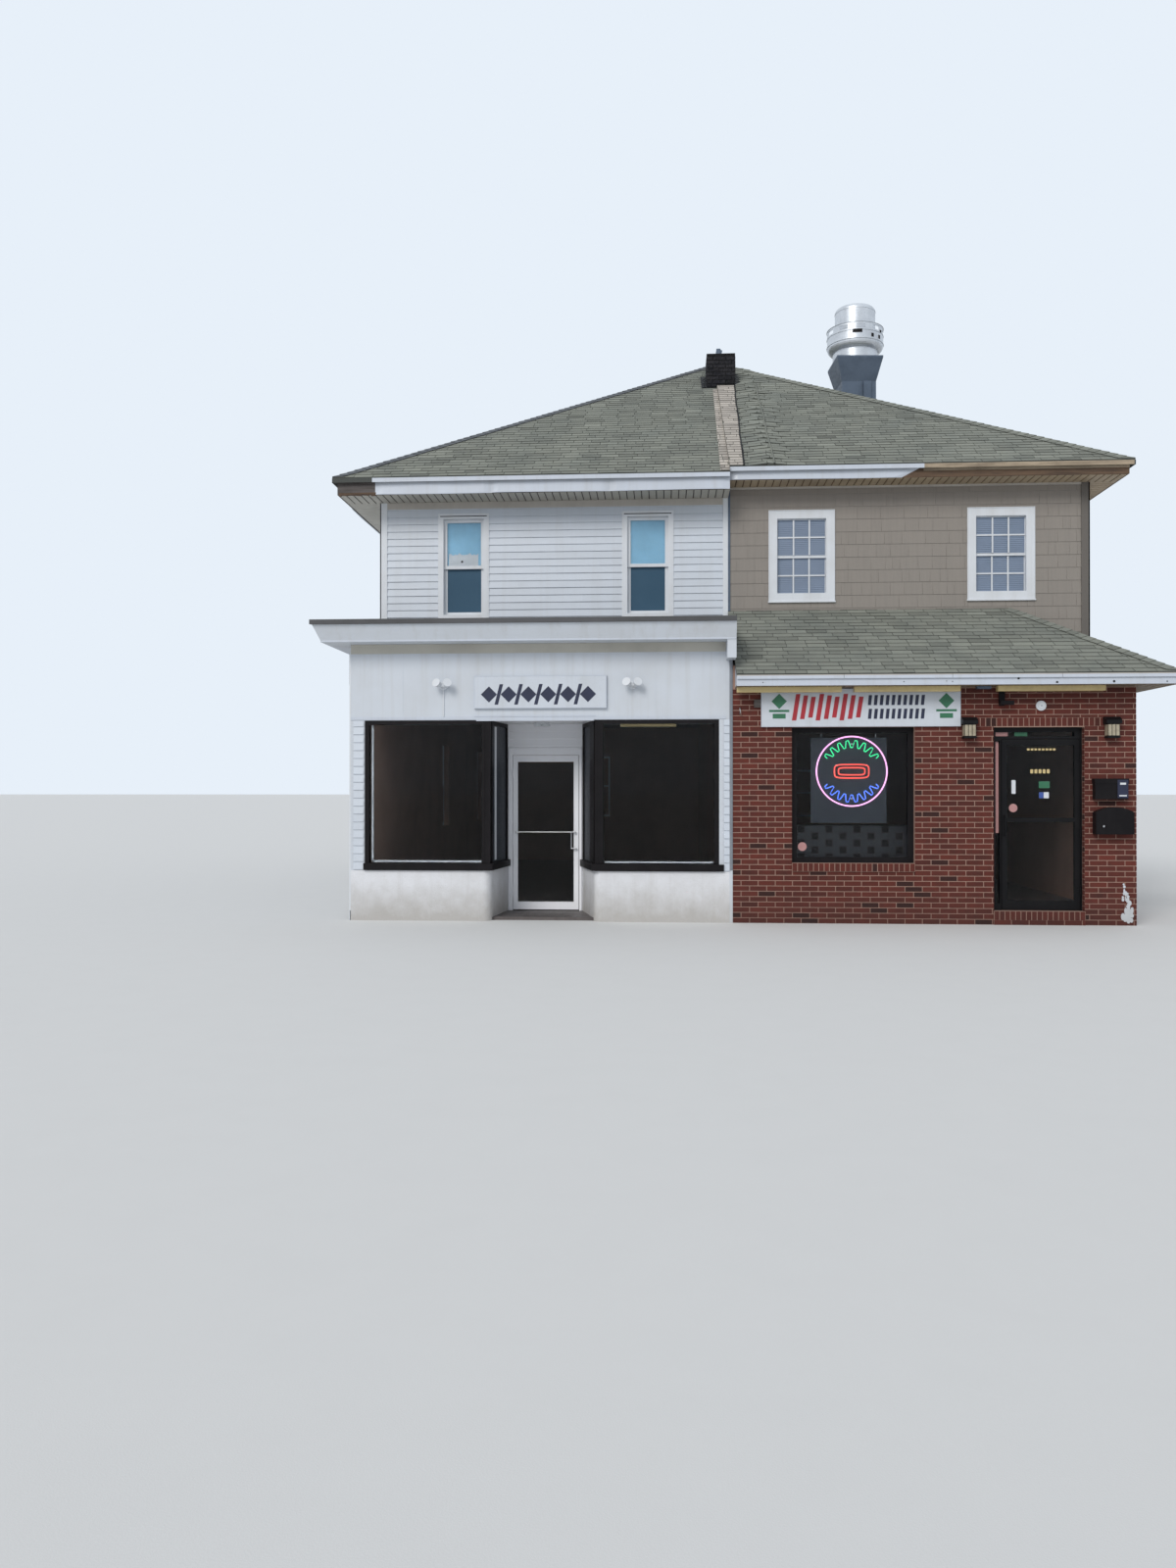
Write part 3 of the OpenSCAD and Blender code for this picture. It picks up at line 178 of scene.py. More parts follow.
def tone_group():
    """Lightens or darkens a colour by the piece's own tone attribute, which is 0.5 where neutral."""
    group, start, end = new_group(
        "tone", [("Colour", "Color", (1, 1, 1, 1)), ("Amount", "Float", 1.0)], [("Colour", "Color")])
    value = node(group, "Attribute", {"attribute_name": "tone"}).outputs["Fac"]
    shift = math_node(group, "MULTIPLY", math_node(group, "SUBTRACT", value, 0.5), start.outputs["Amount"])
    gain = math_node(group, "ADD", math_node(group, "MULTIPLY", shift, 2.0), 1.0)
    grey = node(group, "CombineColor", {}, {0: gain, 1: gain, 2: gain}).outputs[0]
    colour = mix_colour(group, 1.0, start.outputs["Colour"], grey, "MULTIPLY")
    group.links.new(colour, end.inputs["Colour"])
    return group


WEATHER = weather_group()
GRAIN = grain_group()
TONE = tone_group()


def use_group(tree, group, inputs):
    made = tree.nodes.new("ShaderNodeGroup")
    made.node_tree = group
    for key, value in inputs.items():
        if isinstance(value, bpy.types.NodeSocket):
            tree.links.new(value, made.inputs[key])
        else:
            made.inputs[key].default_value = value
    return made


def rgba(colour):
    return (*colour, 1.0)


def finish(name, colour, rough, stain=None, metal=0.0, scale=3.0, mottle=0.3, runs=0.15, splash=0.0,
           grain=150.0, relief=0.3, depth=0.002, stretch=(1, 1, 1), tone=0.0, rough_spread=0.12, coat=0.0, gloss=0.5):
    """A weathered, grained material on Object coordinates. Stretch squeezes the pattern along an axis."""
    material = bpy.data.materials.new(name)
    material.use_nodes = True
    tree = material.node_tree
    shader = tree.nodes["Principled BSDF"]
    place = node(tree, "TexCoord").outputs["Object"]
    pattern = node(tree, "Mapping", {}, {"Vector": place, "Scale": stretch}).outputs[0]
    stain = stain or tuple(0.45 * c for c in colour)
    worn = use_group(tree, WEATHER, {"Vector": place if stretch == (1, 1, 1) else pattern,
                                     "Colour": rgba(colour), "Stain": rgba(stain), "Scale": scale,
                                     "Mottle": mottle, "Runs": runs, "Splash": splash}).outputs[0]
    if tone:
        worn = use_group(tree, TONE, {"Colour": worn, "Amount": tone}).outputs[0]
    tree.links.new(worn, shader.inputs["Base Color"])
    fine = use_group(tree, GRAIN, {"Vector": pattern, "Scale": grain, "Strength": relief, "Depth": depth})
    tree.links.new(fine.outputs["Normal"], shader.inputs["Normal"])
    spread = node(tree, "MapRange", {}, {0: fine.outputs["Height"], 1: 0.3, 2: 0.7,
                                         3: max(rough - rough_spread, 0.02), 4: min(rough + rough_spread, 1.0)})
    tree.links.new(spread.outputs[0], shader.inputs["Roughness"])
    shader.inputs["Metallic"].default_value = metal
    shader.inputs["Coat Weight"].default_value = coat
    shader.inputs["Specular IOR Level"].default_value = gloss
    return material


def glass(name, colour, ior):
    """Clear glass with a faint dust film that changes its roughness."""
    material = bpy.data.materials.new(name)
    material.use_nodes = True
    tree = material.node_tree
    shader = tree.nodes["Principled BSDF"]
    place = node(tree, "TexCoord").outputs["Object"]
    dust = ramp_value(tree, noise_value(tree, place, 2.5, 6.0, 0.65), 0.35, 0.75)
    film = node(tree, "MapRange", {}, {0: dust, 3: 0.02, 4: 0.07}).outputs[0]
    tree.links.new(film, shader.inputs["Roughness"])
    tint = mix_colour(tree, dust, rgba(colour), rgba(tuple(0.93 * c for c in colour)))
    tree.links.new(tint, shader.inputs["Base Color"])
    shader.inputs["Transmission Weight"].default_value = 1.0
    shader.inputs["IOR"].default_value = ior
    return material


def glow(name, colour, strength):
    """A lit tube: its own colour, and light that wavers a little along it."""
    material = finish(name, tuple(0.6 * c for c in colour), 0.3, mottle=0.05, runs=0.0)
    tree = material.node_tree
    shader = tree.nodes["Principled BSDF"]
    place = node(tree, "TexCoord").outputs["Object"]
    waver = node(tree, "MapRange", {}, {0: noise_value(tree, place, 8.0), 3: 0.8, 4: 1.0}).outputs[0]
    grey = node(tree, "CombineColor", {}, {0: waver, 1: waver, 2: waver}).outputs[0]
    tree.links.new(mix_colour(tree, 1.0, rgba(colour), grey, "MULTIPLY"), shader.inputs["Emission Color"])
    shader.inputs["Emission Strength"].default_value = strength
    return material


# Blue-grey rather than white: the sky's shade on the white siding is painted into its colour.
SHADED_SIDING = finish("white_siding", (0.595, 0.645, 0.715), 0.42, (0.47, 0.48, 0.48), scale=1.2, mottle=0.22,
                runs=0.25, splash=0.5, grain=90, relief=0.12, tone=0.35)
SHAKE = finish("tan_shake", (0.262, 0.235, 0.208), 0.62, (0.205, 0.188, 0.17), scale=0.9, mottle=0.3, runs=0.0,
               grain=12, relief=0.15, depth=0.002, stretch=(45, 45, 2), tone=0.5)
BRICK = finish("red_brick", (0.100, 0.017, 0.010), 0.85, (0.05, 0.014, 0.010), scale=9.0, mottle=0.5, runs=0.2,
               splash=0.5, grain=220, relief=0.6, depth=0.003, tone=1.0)
MORTAR = finish("pale_mortar", (0.37, 0.235, 0.185), 0.95, (0.225, 0.138, 0.11), scale=6.0, mottle=0.4, splash=0.6,
                grain=300, relief=0.7)
SHINGLE = finish("roof_shingle", (0.235, 0.245, 0.210), 0.92, (0.150, 0.165, 0.150), scale=1.6, mottle=0.55,
                 runs=0.15, grain=420, relief=0.8, depth=0.003, tone=0.9)
TAN_SHINGLE = finish("tan_shingle", (0.50, 0.46, 0.41), 0.92, (0.30, 0.27, 0.245), scale=3.0, mottle=0.5,
                     grain=420, relief=0.8, depth=0.003, tone=0.9)
WHITE_METAL = finish("white_metal", (0.565, 0.61, 0.685), 0.38, (0.42, 0.42, 0.41), scale=1.5, mottle=0.2,
                     runs=0.3, grain=40, relief=0.1, coat=0.1)
# Darker and bluer than white: the shade on the white front is painted into its colour; the white paint splashed on the
# bricks shares it.
SHADED_WHITE_PAINT = finish("white_paint_painted_shade", (0.60, 0.64, 0.695), 0.55, (0.46, 0.46, 0.45), scale=1.3, mottle=0.25,
                     runs=0.35, splash=0.6, grain=70, relief=0.25)
STUCCO = finish("white_stucco", (0.76, 0.77, 0.80), 0.85, (0.42, 0.40, 0.37), scale=2.2, mottle=0.2, runs=0.2,
                splash=0.8, grain=45, relief=0.9, depth=0.008)
OLD_WOOD = finish("old_wood", (0.15, 0.095, 0.06), 0.9, (0.05, 0.035, 0.028), scale=2.5, mottle=0.8, runs=0.3,
                  grain=40, relief=0.9, depth=0.006, stretch=(0.8, 0.8, 12))
PALE_WOOD = finish("pale_wood", (0.44, 0.355, 0.255), 0.85, (0.12, 0.09, 0.065), scale=2.0, mottle=0.7, runs=0.3,
                   grain=40, relief=0.8, depth=0.004, stretch=(0.8, 0.8, 10))
# Dark grey: weathered boards on the left fascia, and painted shade in the grooves of the left soffit.
GREY_WOOD_AND_GROOVE_SHADE = finish("grey_wood_and_groove_shade", (0.13, 0.115, 0.11), 0.9, (0.06, 0.05, 0.045), scale=2.5, mottle=0.8, runs=0.3,
                   grain=40, relief=0.9, depth=0.006, stretch=(0.8, 0.8, 12))
CREAM_SOFFIT = finish("cream_soffit", (0.52, 0.50, 0.44), 0.55, (0.28, 0.26, 0.22), scale=1.2, mottle=0.4,
                      runs=0.0, grain=80, relief=0.15)
BROWN_SOFFIT = finish("brown_soffit", (0.46, 0.36, 0.245), 0.6, (0.18, 0.125, 0.085), scale=1.2, mottle=0.5,
                      runs=0.0, grain=80, relief=0.2)
# A darker copy of the brown soffit: painted shade under the pent roof.
SHADED_PENT_SOFFIT = finish("pent_soffit", (0.21, 0.16, 0.105), 0.6, (0.10, 0.07, 0.05), scale=1.2, mottle=0.5,
                     runs=0.0, grain=80, relief=0.2)
FRIEZE = finish("frieze_board", (0.50, 0.47, 0.43), 0.6, (0.34, 0.31, 0.28), scale=2.0, mottle=0.5, runs=0.2,
                grain=60, relief=0.3)
# Real tar on the chimney; the same black also makes the painted shadow line beside the tan strip.
TAR_AND_SHADOW = finish("roof_tar", (0.010, 0.010, 0.014), 0.6, (0.035, 0.032, 0.034), scale=9.0, mottle=0.6, grain=35,
             relief=1.0, depth=0.02, rough_spread=0.3, tone=0.9, gloss=0.2)
# Dark blue-grey rather than bright metal: painted shade, as on the duct's shaded front.
SHADED_GALVANISED = finish("galvanised", (0.095, 0.125, 0.17), 0.5, (0.055, 0.075, 0.105), metal=0.45, scale=5.0,
                    mottle=0.5, runs=0.2, grain=25, relief=0.15)
ALUMINIUM = finish("spun_aluminium", (0.66, 0.69, 0.73), 0.36, (0.40, 0.42, 0.45), metal=0.6, scale=4.0,
                   mottle=0.4, runs=0.4, grain=60, relief=0.1)
BLACK_METAL = finish("black_metal", (0.006, 0.005, 0.006), 0.5, (0.016, 0.014, 0.015), scale=4.0, mottle=0.4,
                     runs=0.3, grain=120, relief=0.15, gloss=0.15)
BROWN_BOARD = finish("brown_board", (0.022, 0.014, 0.012), 0.5, (0.010, 0.008, 0.008), scale=2.0, mottle=0.6,
                     grain=40, relief=0.4, stretch=(8, 8, 0.8))
WHITE_VINYL = finish("white_vinyl", (0.70, 0.73, 0.77), 0.4, (0.50, 0.49, 0.47), scale=3.0, mottle=0.2,
                     runs=0.25, grain=90, relief=0.08)
PLASTER = finish("plaster", (0.42, 0.27, 0.205), 0.85, (0.26, 0.175, 0.14), scale=1.5, mottle=0.4, grain=80, relief=0.3)
BOARDS = finish("floor_boards", (0.115, 0.10, 0.095), 0.5, (0.06, 0.052, 0.05), scale=2.0, mottle=0.6, runs=0.0,
                grain=30, relief=0.4, stretch=(10, 1, 1))
FELT = finish("roof_felt", (0.10, 0.10, 0.105), 0.9, (0.06, 0.06, 0.06), scale=1.5, mottle=0.6, grain=350, relief=0.7)
STEEL = finish("satin_steel", (0.55, 0.55, 0.56), 0.3, metal=1.0, scale=8.0, mottle=0.2, grain=200, relief=0.1)
BRONZE = finish("bronze_metal", (0.006, 0.006, 0.007), 0.45, (0.014, 0.013, 0.014), scale=3.0, mottle=0.4,
                grain=120, relief=0.12, gloss=0.15)
# Bright yellow: the strip lights' glow under the pent soffit is painted into the colour, as they give no light; the
# gold bars on the dark door share it.
GLOW_AND_GOLD = finish("diffuser", (0.62, 0.49, 0.23), 0.35, (0.42, 0.31, 0.14), scale=6.0, mottle=0.5, runs=0.0,
                  grain=60, relief=0.1)
SIGN = finish("sign_face", (0.60, 0.64, 0.70), 0.35, (0.46, 0.48, 0.48), scale=2.0, mottle=0.25, runs=0.35,
              grain=60, relief=0.06)
BLIND = finish("window_blind", (0.185, 0.24, 0.335), 0.5, (0.14, 0.185, 0.26), scale=3.0, mottle=0.4, runs=0.0,
               grain=60, relief=0.1, coat=0.5)
# Light blue and bright: partly a sheet behind the left windows' glass, partly a painted reflection of the sky.
SKY_SHEET = finish("blue_shade", (0.30, 0.60, 0.82), 0.55, (0.25, 0.50, 0.70), scale=2.5, mottle=0.4, runs=0.2,
               grain=60, relief=0.1)
SCREEN = finish("window_screen", (0.012, 0.064, 0.118), 0.6, (0.022, 0.08, 0.14), scale=3.0, mottle=0.5, runs=0.2,
                grain=700, relief=0.5)
# Much brighter than the other whites: painted light, lifting the door recess out of its shade.
LIT_DOOR_WHITE = finish("door_white_painted_light", (0.95, 0.96, 1.0), 0.4, (0.88, 0.88, 0.88), scale=1.5, mottle=0.2, runs=0.3,
                    grain=40, relief=0.1)
SLATE = finish("slate_tile", (0.020, 0.023, 0.032), 0.35, (0.03, 0.034, 0.045), scale=6.0, mottle=0.5, grain=60,
               relief=0.1)
DARK_FILM = finish("dark_film", (0.012, 0.018, 0.028), 0.5, (0.02, 0.028, 0.04), scale=4.0, mottle=0.5, grain=60,
                   relief=0.1)
PARTY_GREY = finish("party_grey", (0.22, 0.24, 0.27), 0.6, (0.12, 0.13, 0.15), scale=3.0, mottle=0.5, runs=0.4,
                    grain=60, relief=0.3)
ROOF_DECK = finish("roof_deck", (0.075, 0.080, 0.074), 0.92, (0.045, 0.05, 0.047), scale=1.6, mottle=0.4,
                   grain=420, relief=0.8, depth=0.003)
HIP_CAP = finish("dark_hip", (0.120, 0.130, 0.142), 0.9, (0.06, 0.065, 0.075), scale=1.6, mottle=0.4, grain=420,
                 relief=0.8, depth=0.003, tone=0.6)
CREAM_GLASS = finish("lantern_glass", (0.42, 0.37, 0.27), 0.3, (0.22, 0.18, 0.12), scale=12.0, mottle=0.5,
                     grain=60, relief=0.2)
RED_PAINT = finish("red_paint", (0.40, 0.018, 0.03), 0.45, scale=8.0, mottle=0.3, grain=90, relief=0.1)
GREEN_PAINT = finish("green_paint", (0.03, 0.16, 0.08), 0.45, scale=8.0, mottle=0.3, grain=90, relief=0.1)
NAVY_PAINT = finish("navy_paint", (0.012, 0.017, 0.05), 0.45, scale=8.0, mottle=0.3, grain=90, relief=0.1)
PINK_PLATE = finish("pink_plate", (0.52, 0.27, 0.26), 0.4, scale=8.0, mottle=0.3, grain=90, relief=0.1)
BLUE_PLATE = finish("blue_plate", (0.05, 0.10, 0.35), 0.4, scale=8.0, mottle=0.3, grain=90, relief=0.1)
SHOP_GLASS = glass("shop_glass", (0.93, 0.95, 0.96), 1.2)
HOUSE_GLASS = glass("house_glass", (0.95, 0.97, 0.98), 1.25)
PINK_GLOW = glow("pink_tube", (1.0, 0.45, 0.85), 1.6)
GREEN_GLOW = glow("green_tube", (0.05, 0.85, 0.35), 1.3)
BLUE_GLOW = glow("blue_tube", (0.10, 0.22, 1.0), 1.6)
RED_GLOW = glow("red_tube", (1.0, 0.10, 0.08), 1.6)


# Slots of the materials that aren't named as their slot
USUAL_SLOT = {name: slot for slot, names in (
    ("black_aluminium", "window_screen"),
    ("black_enamel", "black_metal"),
    ("brown_vinyl", "brown_soffit pent_soffit"),
    ("cream_vinyl", "cream_soffit"),
    ("galvanised_steel", "galvanised party_grey"),
    ("lantern_metal", "lantern_glass"),
    ("light_diffuser", "dark_film pink_tube green_tube blue_tube red_tube"),
    ("plaster", "slate_tile brown_board"),
    ("shingles", "roof_shingle tan_shingle dark_hip roof_tar"),
    ("sign_face", "red_paint green_paint navy_paint pink_plate blue_plate diffuser"),
    ("tan_shakes", "tan_shake"),
    ("weathered_wood", "old_wood pale_wood frieze_board"),
    ("white_metal", "door_white_painted_light"),
    ("white_stucco", "white_paint_painted_shade"),
    ("white_vinyl", "window_blind blue_shade"),
) for name in names.split()}


# Meshes from arrays
def join(parts):
    """Joins (points, quads) parts, and tones where given, into one."""
    points, quads, tones, start = [], [], [], 0
    for part in parts:
        points.append(np.asarray(part[0]).reshape(-1, 3))
        quads.append(np.asarray(part[1]).reshape(-1, 4) + start)
        if len(part) > 2:
            tones.append(np.asarray(part[2]).ravel())
        start += len(points[-1])
    return np.concatenate(points), np.concatenate(quads), np.concatenate(tones) if tones else None


def make_piece(name, parts, material, slot=None, body="root", smooth=False, bevel=0.0):
    """A mesh object at the origin from (points, quads) parts; a third member gives one tone a face.

    Where no slot is given, its material's usual one is looked up, but the slot is not kept on the piece.
    """
    points, quads, tone = join(parts)
    mesh = bpy.data.meshes.new(name)
    mesh.vertices.add(len(points))
    mesh.vertices.foreach_set("co", points.astype(np.float32).ravel())
    mesh.loops.add(quads.size)
    mesh.loops.foreach_set("vertex_index", quads.astype(np.int32).ravel())
    mesh.polygons.add(len(quads))
    mesh.polygons.foreach_set("loop_start", np.arange(0, quads.size, 4, dtype=np.int32))
    mesh.update(calc_edges=True)
    if tone is not None:
        attribute = mesh.attributes.new("tone", "FLOAT", "FACE")
        attribute.data.foreach_set("value", np.asarray(tone, np.float32).ravel())
    mesh.polygons.foreach_set("use_smooth", np.full(len(quads), smooth))
    mesh.materials.append(material)
    piece = bpy.data.objects.new(name, mesh)
    bpy.context.scene.collection.objects.link(piece)
    if bevel:
        edges = piece.modifiers.new("edges", "BEVEL")
        edges.width, edges.segments, edges.limit_method = bevel, 2, "ANGLE"
    if slot is None:
        look = material.name.split(".")[0]    # without the number that Blender adds to a name the model has too
        slot = USUAL_SLOT.get(look, look)
    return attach(piece, body)


class Frame:
    """A flat frame on a wall or slope: u along it, v up it and w out of it, in metres."""

    def __init__(self, origin, along, up=UP):
        self.origin = np.array(origin, float)
        self.u = np.array(along, float) / np.linalg.norm(along)
        self.v = np.array(up, float) / np.linalg.norm(up)
        self.w = np.cross(self.u, self.v)

    def out(self, local):
        """World points of local (u, v, w) points."""
        local = np.asarray(local, float)
        return self.origin + local[..., 0:1] * self.u + local[..., 1:2] * self.v + local[..., 2:3] * self.w

    def back(self, points):
        """Local (u, v, w) of world points."""
        rel = np.asarray(points, float) - self.origin
        return np.stack([rel @ self.u, rel @ self.v, rel @ self.w], -1)


def facing(y):
    """The frame of a wall at y that faces the street."""
    return Frame((0, y, 0), (1, 0, 0))


BLOCK_QUADS = np.array([[0, 3, 2, 1], [4, 5, 6, 7], [0, 1, 5, 4], [1, 2, 6, 5], [2, 3, 7, 6], [3, 0, 4, 7]])


def repeated(quads, count, step):
    """A pattern of faces count times over, step points further on each time."""
    return (quads[None] + step * np.arange(count)[:, None, None]).reshape(-1, 4)


def blocks(lows, highs):
    """Boxes from arrays of low and high corners: eight points and six outward faces each."""
    lows, highs = np.atleast_2d(lows), np.atleast_2d(highs)
    pick = np.array([[0, 0, 0], [1, 0, 0], [1, 1, 0], [0, 1, 0], [0, 0, 1], [1, 0, 1], [1, 1, 1], [0, 1, 1]])
    points = np.where(pick[None] == 1, highs[:, None], lows[:, None])
    return points.reshape(-1, 3), repeated(BLOCK_QUADS, len(lows), 8)


WEDGE_QUADS = np.array([[0, 1, 2, 3], [3, 2, 6, 7], [0, 3, 7, 4], [2, 1, 5, 6]])


def wedges(foot, head):
    """Wedges on a wall: foot and head are (p, q, v, w), the edge from p to q at a height v, w thick."""
    p0, q0, v0, w0, p1, q1, v1, w1 = np.broadcast_arrays(*foot, *head)
    flat = 0.0 * p0
    corners = [(p0, v0, flat), (q0, v0, flat), (q0, v0, w0), (p0, v0, w0),
               (p1, v1, flat), (q1, v1, flat), (q1, v1, w1), (p1, v1, w1)]
    points = np.stack([np.stack(corner, -1) for corner in corners], 1)
    return points.reshape(-1, 3), repeated(WEDGE_QUADS, len(p0), 8)


# A plate whose front edge is bevelled: back ring, front ring and inner ring of four points each
PLATE_QUADS = np.array([[0, 1, 5, 4], [1, 2, 6, 5], [2, 3, 7, 6], [3, 0, 4, 7],
                        [4, 5, 9, 8], [5, 6, 10, 9], [6, 7, 11, 10], [7, 4, 8, 11], [8, 9, 10, 11]])


def plates(boxes, face, bevel):
    """Bevelled plates on a wall: boxes are (u0, u1, v0, v1), face their height and bevel the chamfer."""
    u0, u1, v0, v1 = np.asarray(boxes, float).T
    face = np.broadcast_to(face, u0.shape)
    corner_u = np.stack([u0, u1, u1, u0], 1)
    corner_v = np.stack([v0, v0, v1, v1], 1)
    in_u = np.array([1, -1, -1, 1]) * bevel
    in_v = np.array([1, 1, -1, -1]) * bevel
    back = np.stack([corner_u, corner_v, np.zeros_like(corner_u)], -1)
    edge = np.stack([corner_u, corner_v, np.repeat((face - bevel)[:, None], 4, 1)], -1)
    front = np.stack([corner_u + in_u, corner_v + in_v, np.repeat(face[:, None], 4, 1)], -1)
    points = np.concatenate([back, edge, front], 1)
    return points.reshape(-1, 3), repeated(PLATE_QUADS, len(u0), 12)


def bars(wall, rows):
    """Closed boxes on a wall from rows of (u0, u1, v0, v1, w0, w1)."""
    rows = np.array(rows, float).reshape(-1, 6)
    points, quads = blocks(rows[:, [0, 2, 4]], rows[:, [1, 3, 5]])
    return wall.out(points), quads


def disc(wall, centre, radius, w0, w1, sides=24, squeeze=1.0):
    """A closed round plate on a wall: two rings and two middle points, joined by four-cornered faces."""
    angle = np.linspace(0, 2 * math.pi, sides, endpoint=False)
    ring = np.stack([centre[0] + radius * np.cos(angle), centre[1] + squeeze * radius * np.sin(angle)], 1)
    levels = [np.column_stack([ring, np.full(sides, w)]) for w in (w0, w1)]
    points = np.concatenate(levels + [[[centre[0], centre[1], w0], [centre[0], centre[1], w1]]])
    i = np.arange(sides)
    j = (i + 1) % sides
    side = np.stack([i, j, j + sides, i + sides], 1)
    even = np.arange(0, sides, 2)
    one, two = (even + 1) % sides, (even + 2) % sides
    back = np.stack([np.full(len(even), 2 * sides), two, one, even], 1)
    front = np.stack([np.full(len(even), 2 * sides + 1), even + sides, one + sides, two + sides], 1)
    return wall.out(points), np.concatenate([side, back, front])


def sheet(rows, wall=None, flip=False):
    """A grid's points and four-cornered faces from its rows of points, local to a wall where one is given."""
    points = np.stack(rows)
    cols = points.shape[1]
    a = (np.arange(len(rows) - 1)[:, None] * cols + np.arange(cols - 1)).ravel()
    quads = np.stack([a, a + 1, a + cols + 1, a + cols], 1)
    return wall.out(points) if wall else points, quads[:, ::-1] if flip else quads


def tube(path, radius, sides=10):
    """A round tube along a path: at each point a circle square to the path's own direction."""
    path = np.asarray(path, float)
    way = np.gradient(path, axis=0)
    way /= np.linalg.norm(way, axis=1)[:, None]
    guide = np.where(np.abs(way[:, 2:3]) > 0.9, np.array([[1.0, 0, 0]]), UP[None])
    one = np.cross(way, guide)
    one /= np.linalg.norm(one, axis=1)[:, None]
    two = np.cross(way, one)
    angle = np.linspace(0, 2 * math.pi, sides, endpoint=False)
    ring = np.cos(angle)[None, :, None] * one[:, None] + np.sin(angle)[None, :, None] * two[:, None]
    points = (path[:, None] + radius * ring).reshape(-1, 3)
    rows = len(path)
    a = (np.arange(rows - 1)[:, None] * sides + np.arange(sides)[None]).ravel()
    b = (np.arange(rows - 1)[:, None] * sides + (np.arange(sides)[None] + 1) % sides).ravel()
    quads = np.stack([a, b, b + sides, a + sides], 1)
    ends = []
    for first, turn in ((0, -1), ((rows - 1) * sides, 1)):
        ring_ids = first + np.arange(sides)[::turn]
        for k in range(1, sides - 2, 2):
            ends.append([ring_ids[0], ring_ids[k], ring_ids[k + 1], ring_ids[k + 2]])
    return points, np.concatenate([quads, np.array(ends)])


def turned(profile, centre, steps=48):
    """A surface of revolution: profile is (radius, height) points, turned about an upright axis."""
    profile = np.asarray(profile, float)
    angle = np.linspace(0, 2 * math.pi, steps, endpoint=False)
    x = profile[None, :, 0] * np.cos(angle)[:, None]
    y = profile[None, :, 0] * np.sin(angle)[:, None]
    z = np.broadcast_to(profile[None, :, 1], x.shape)
    points = np.stack([x, y, z], -1) + np.asarray(centre, float)
    cols = len(profile)
    i, j = np.meshgrid(np.arange(steps), np.arange(cols - 1), indexing="ij")
    a = (i * cols + j).ravel()
    b = (((i + 1) % steps) * cols + j).ravel()
    return points.reshape(-1, 3), np.stack([a, b, b + 1, a + 1], 1)


def solids(name):
    """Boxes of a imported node's separate solids, found by walking its welded triangles."""
    points = node_points(name)
    places, weld = np.unique(np.round(points * 1e4).astype(int), axis=0, return_inverse=True)
    weld = weld.ravel()
    parent = list(range(len(places)))

    def root(i):
        while parent[i] != i:
            parent[i] = parent[parent[i]]
            i = parent[i]
        return i

    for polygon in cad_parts[name].data.polygons:
        first = root(weld[polygon.vertices[0]])
        for corner in polygon.vertices[1:]:
            parent[root(weld[corner])] = first
    groups = {}
    for index, key in enumerate(weld):
        groups.setdefault(root(key), []).append(index)
    return [(points[ids].min(0), points[ids].max(0)) for ids in groups.values()]


def local_boxes(wall, boxes, reach=0.35):
    """Boxes near a wall's plane, as (u0, u1, v0, v1, w0, w1) rows in its frame."""
    found = []
    for box_low, box_high in boxes:
        a, b = wall.back(np.array([box_low, box_high]))
        one, two = np.minimum(a, b), np.maximum(a, b)
        if max(abs(one[2]), abs(two[2])) < reach:
            found.append([one[0], two[0], one[1], two[1], one[2], two[2]])
    return found


def holes_on(wall, boxes, margin=0.0):
    """Rectangles (u0, u1, v0, v1) that boxes near a wall's plane cover on it."""
    return [(r[0] - margin, r[1] + margin, r[2] - margin, r[3] + margin) for r in local_boxes(wall, boxes)]


SLIVER = 0.012    # stretches narrower than this are left out
TOUCH = 0.004     # a hole that reaches less than this into a course doesn't cut it


def clear_spans(u0, u1, v0, v1, holes):
    """The stretches of u0..u1 that no hole covers between the heights v0 and v1."""
    spans = [(u0, u1)]
    for h0, h1, g0, g1 in holes:
        if g0 < v1 - TOUCH and g1 > v0 + TOUCH:
            spans = [(p, q) for a, b in spans for p, q in ((a, min(b, h0)), (max(a, h1), b)) if q - p > SLIVER]
    return spans


def course_parts(u0, u1, v0, v1, holes):
    """What holes leave of a course, as (u0, u1, v0, v1), with the strips above and below a hole's edges."""
    found = [(a, b, v0, v1) for a, b in clear_spans(u0, u1, v0, v1, holes)]
    for h0, h1, g0, g1 in holes:
        a, b = max(h0, u0), min(h1, u1)
        for cut, foot, head in ((g1, g1, v1), (g0, v0, g0)):
            if b - a > SLIVER and v0 + TOUCH < cut < v1 - TOUCH:
                found += [(p, q, foot, head) for p, q in clear_spans(a, b, foot, head, holes)]
    return found


LEFT_WINDOWS = solids("window_frames_left")
RIGHT_WINDOWS = solids("window_frames_right")
PANES = solids("window_glass")


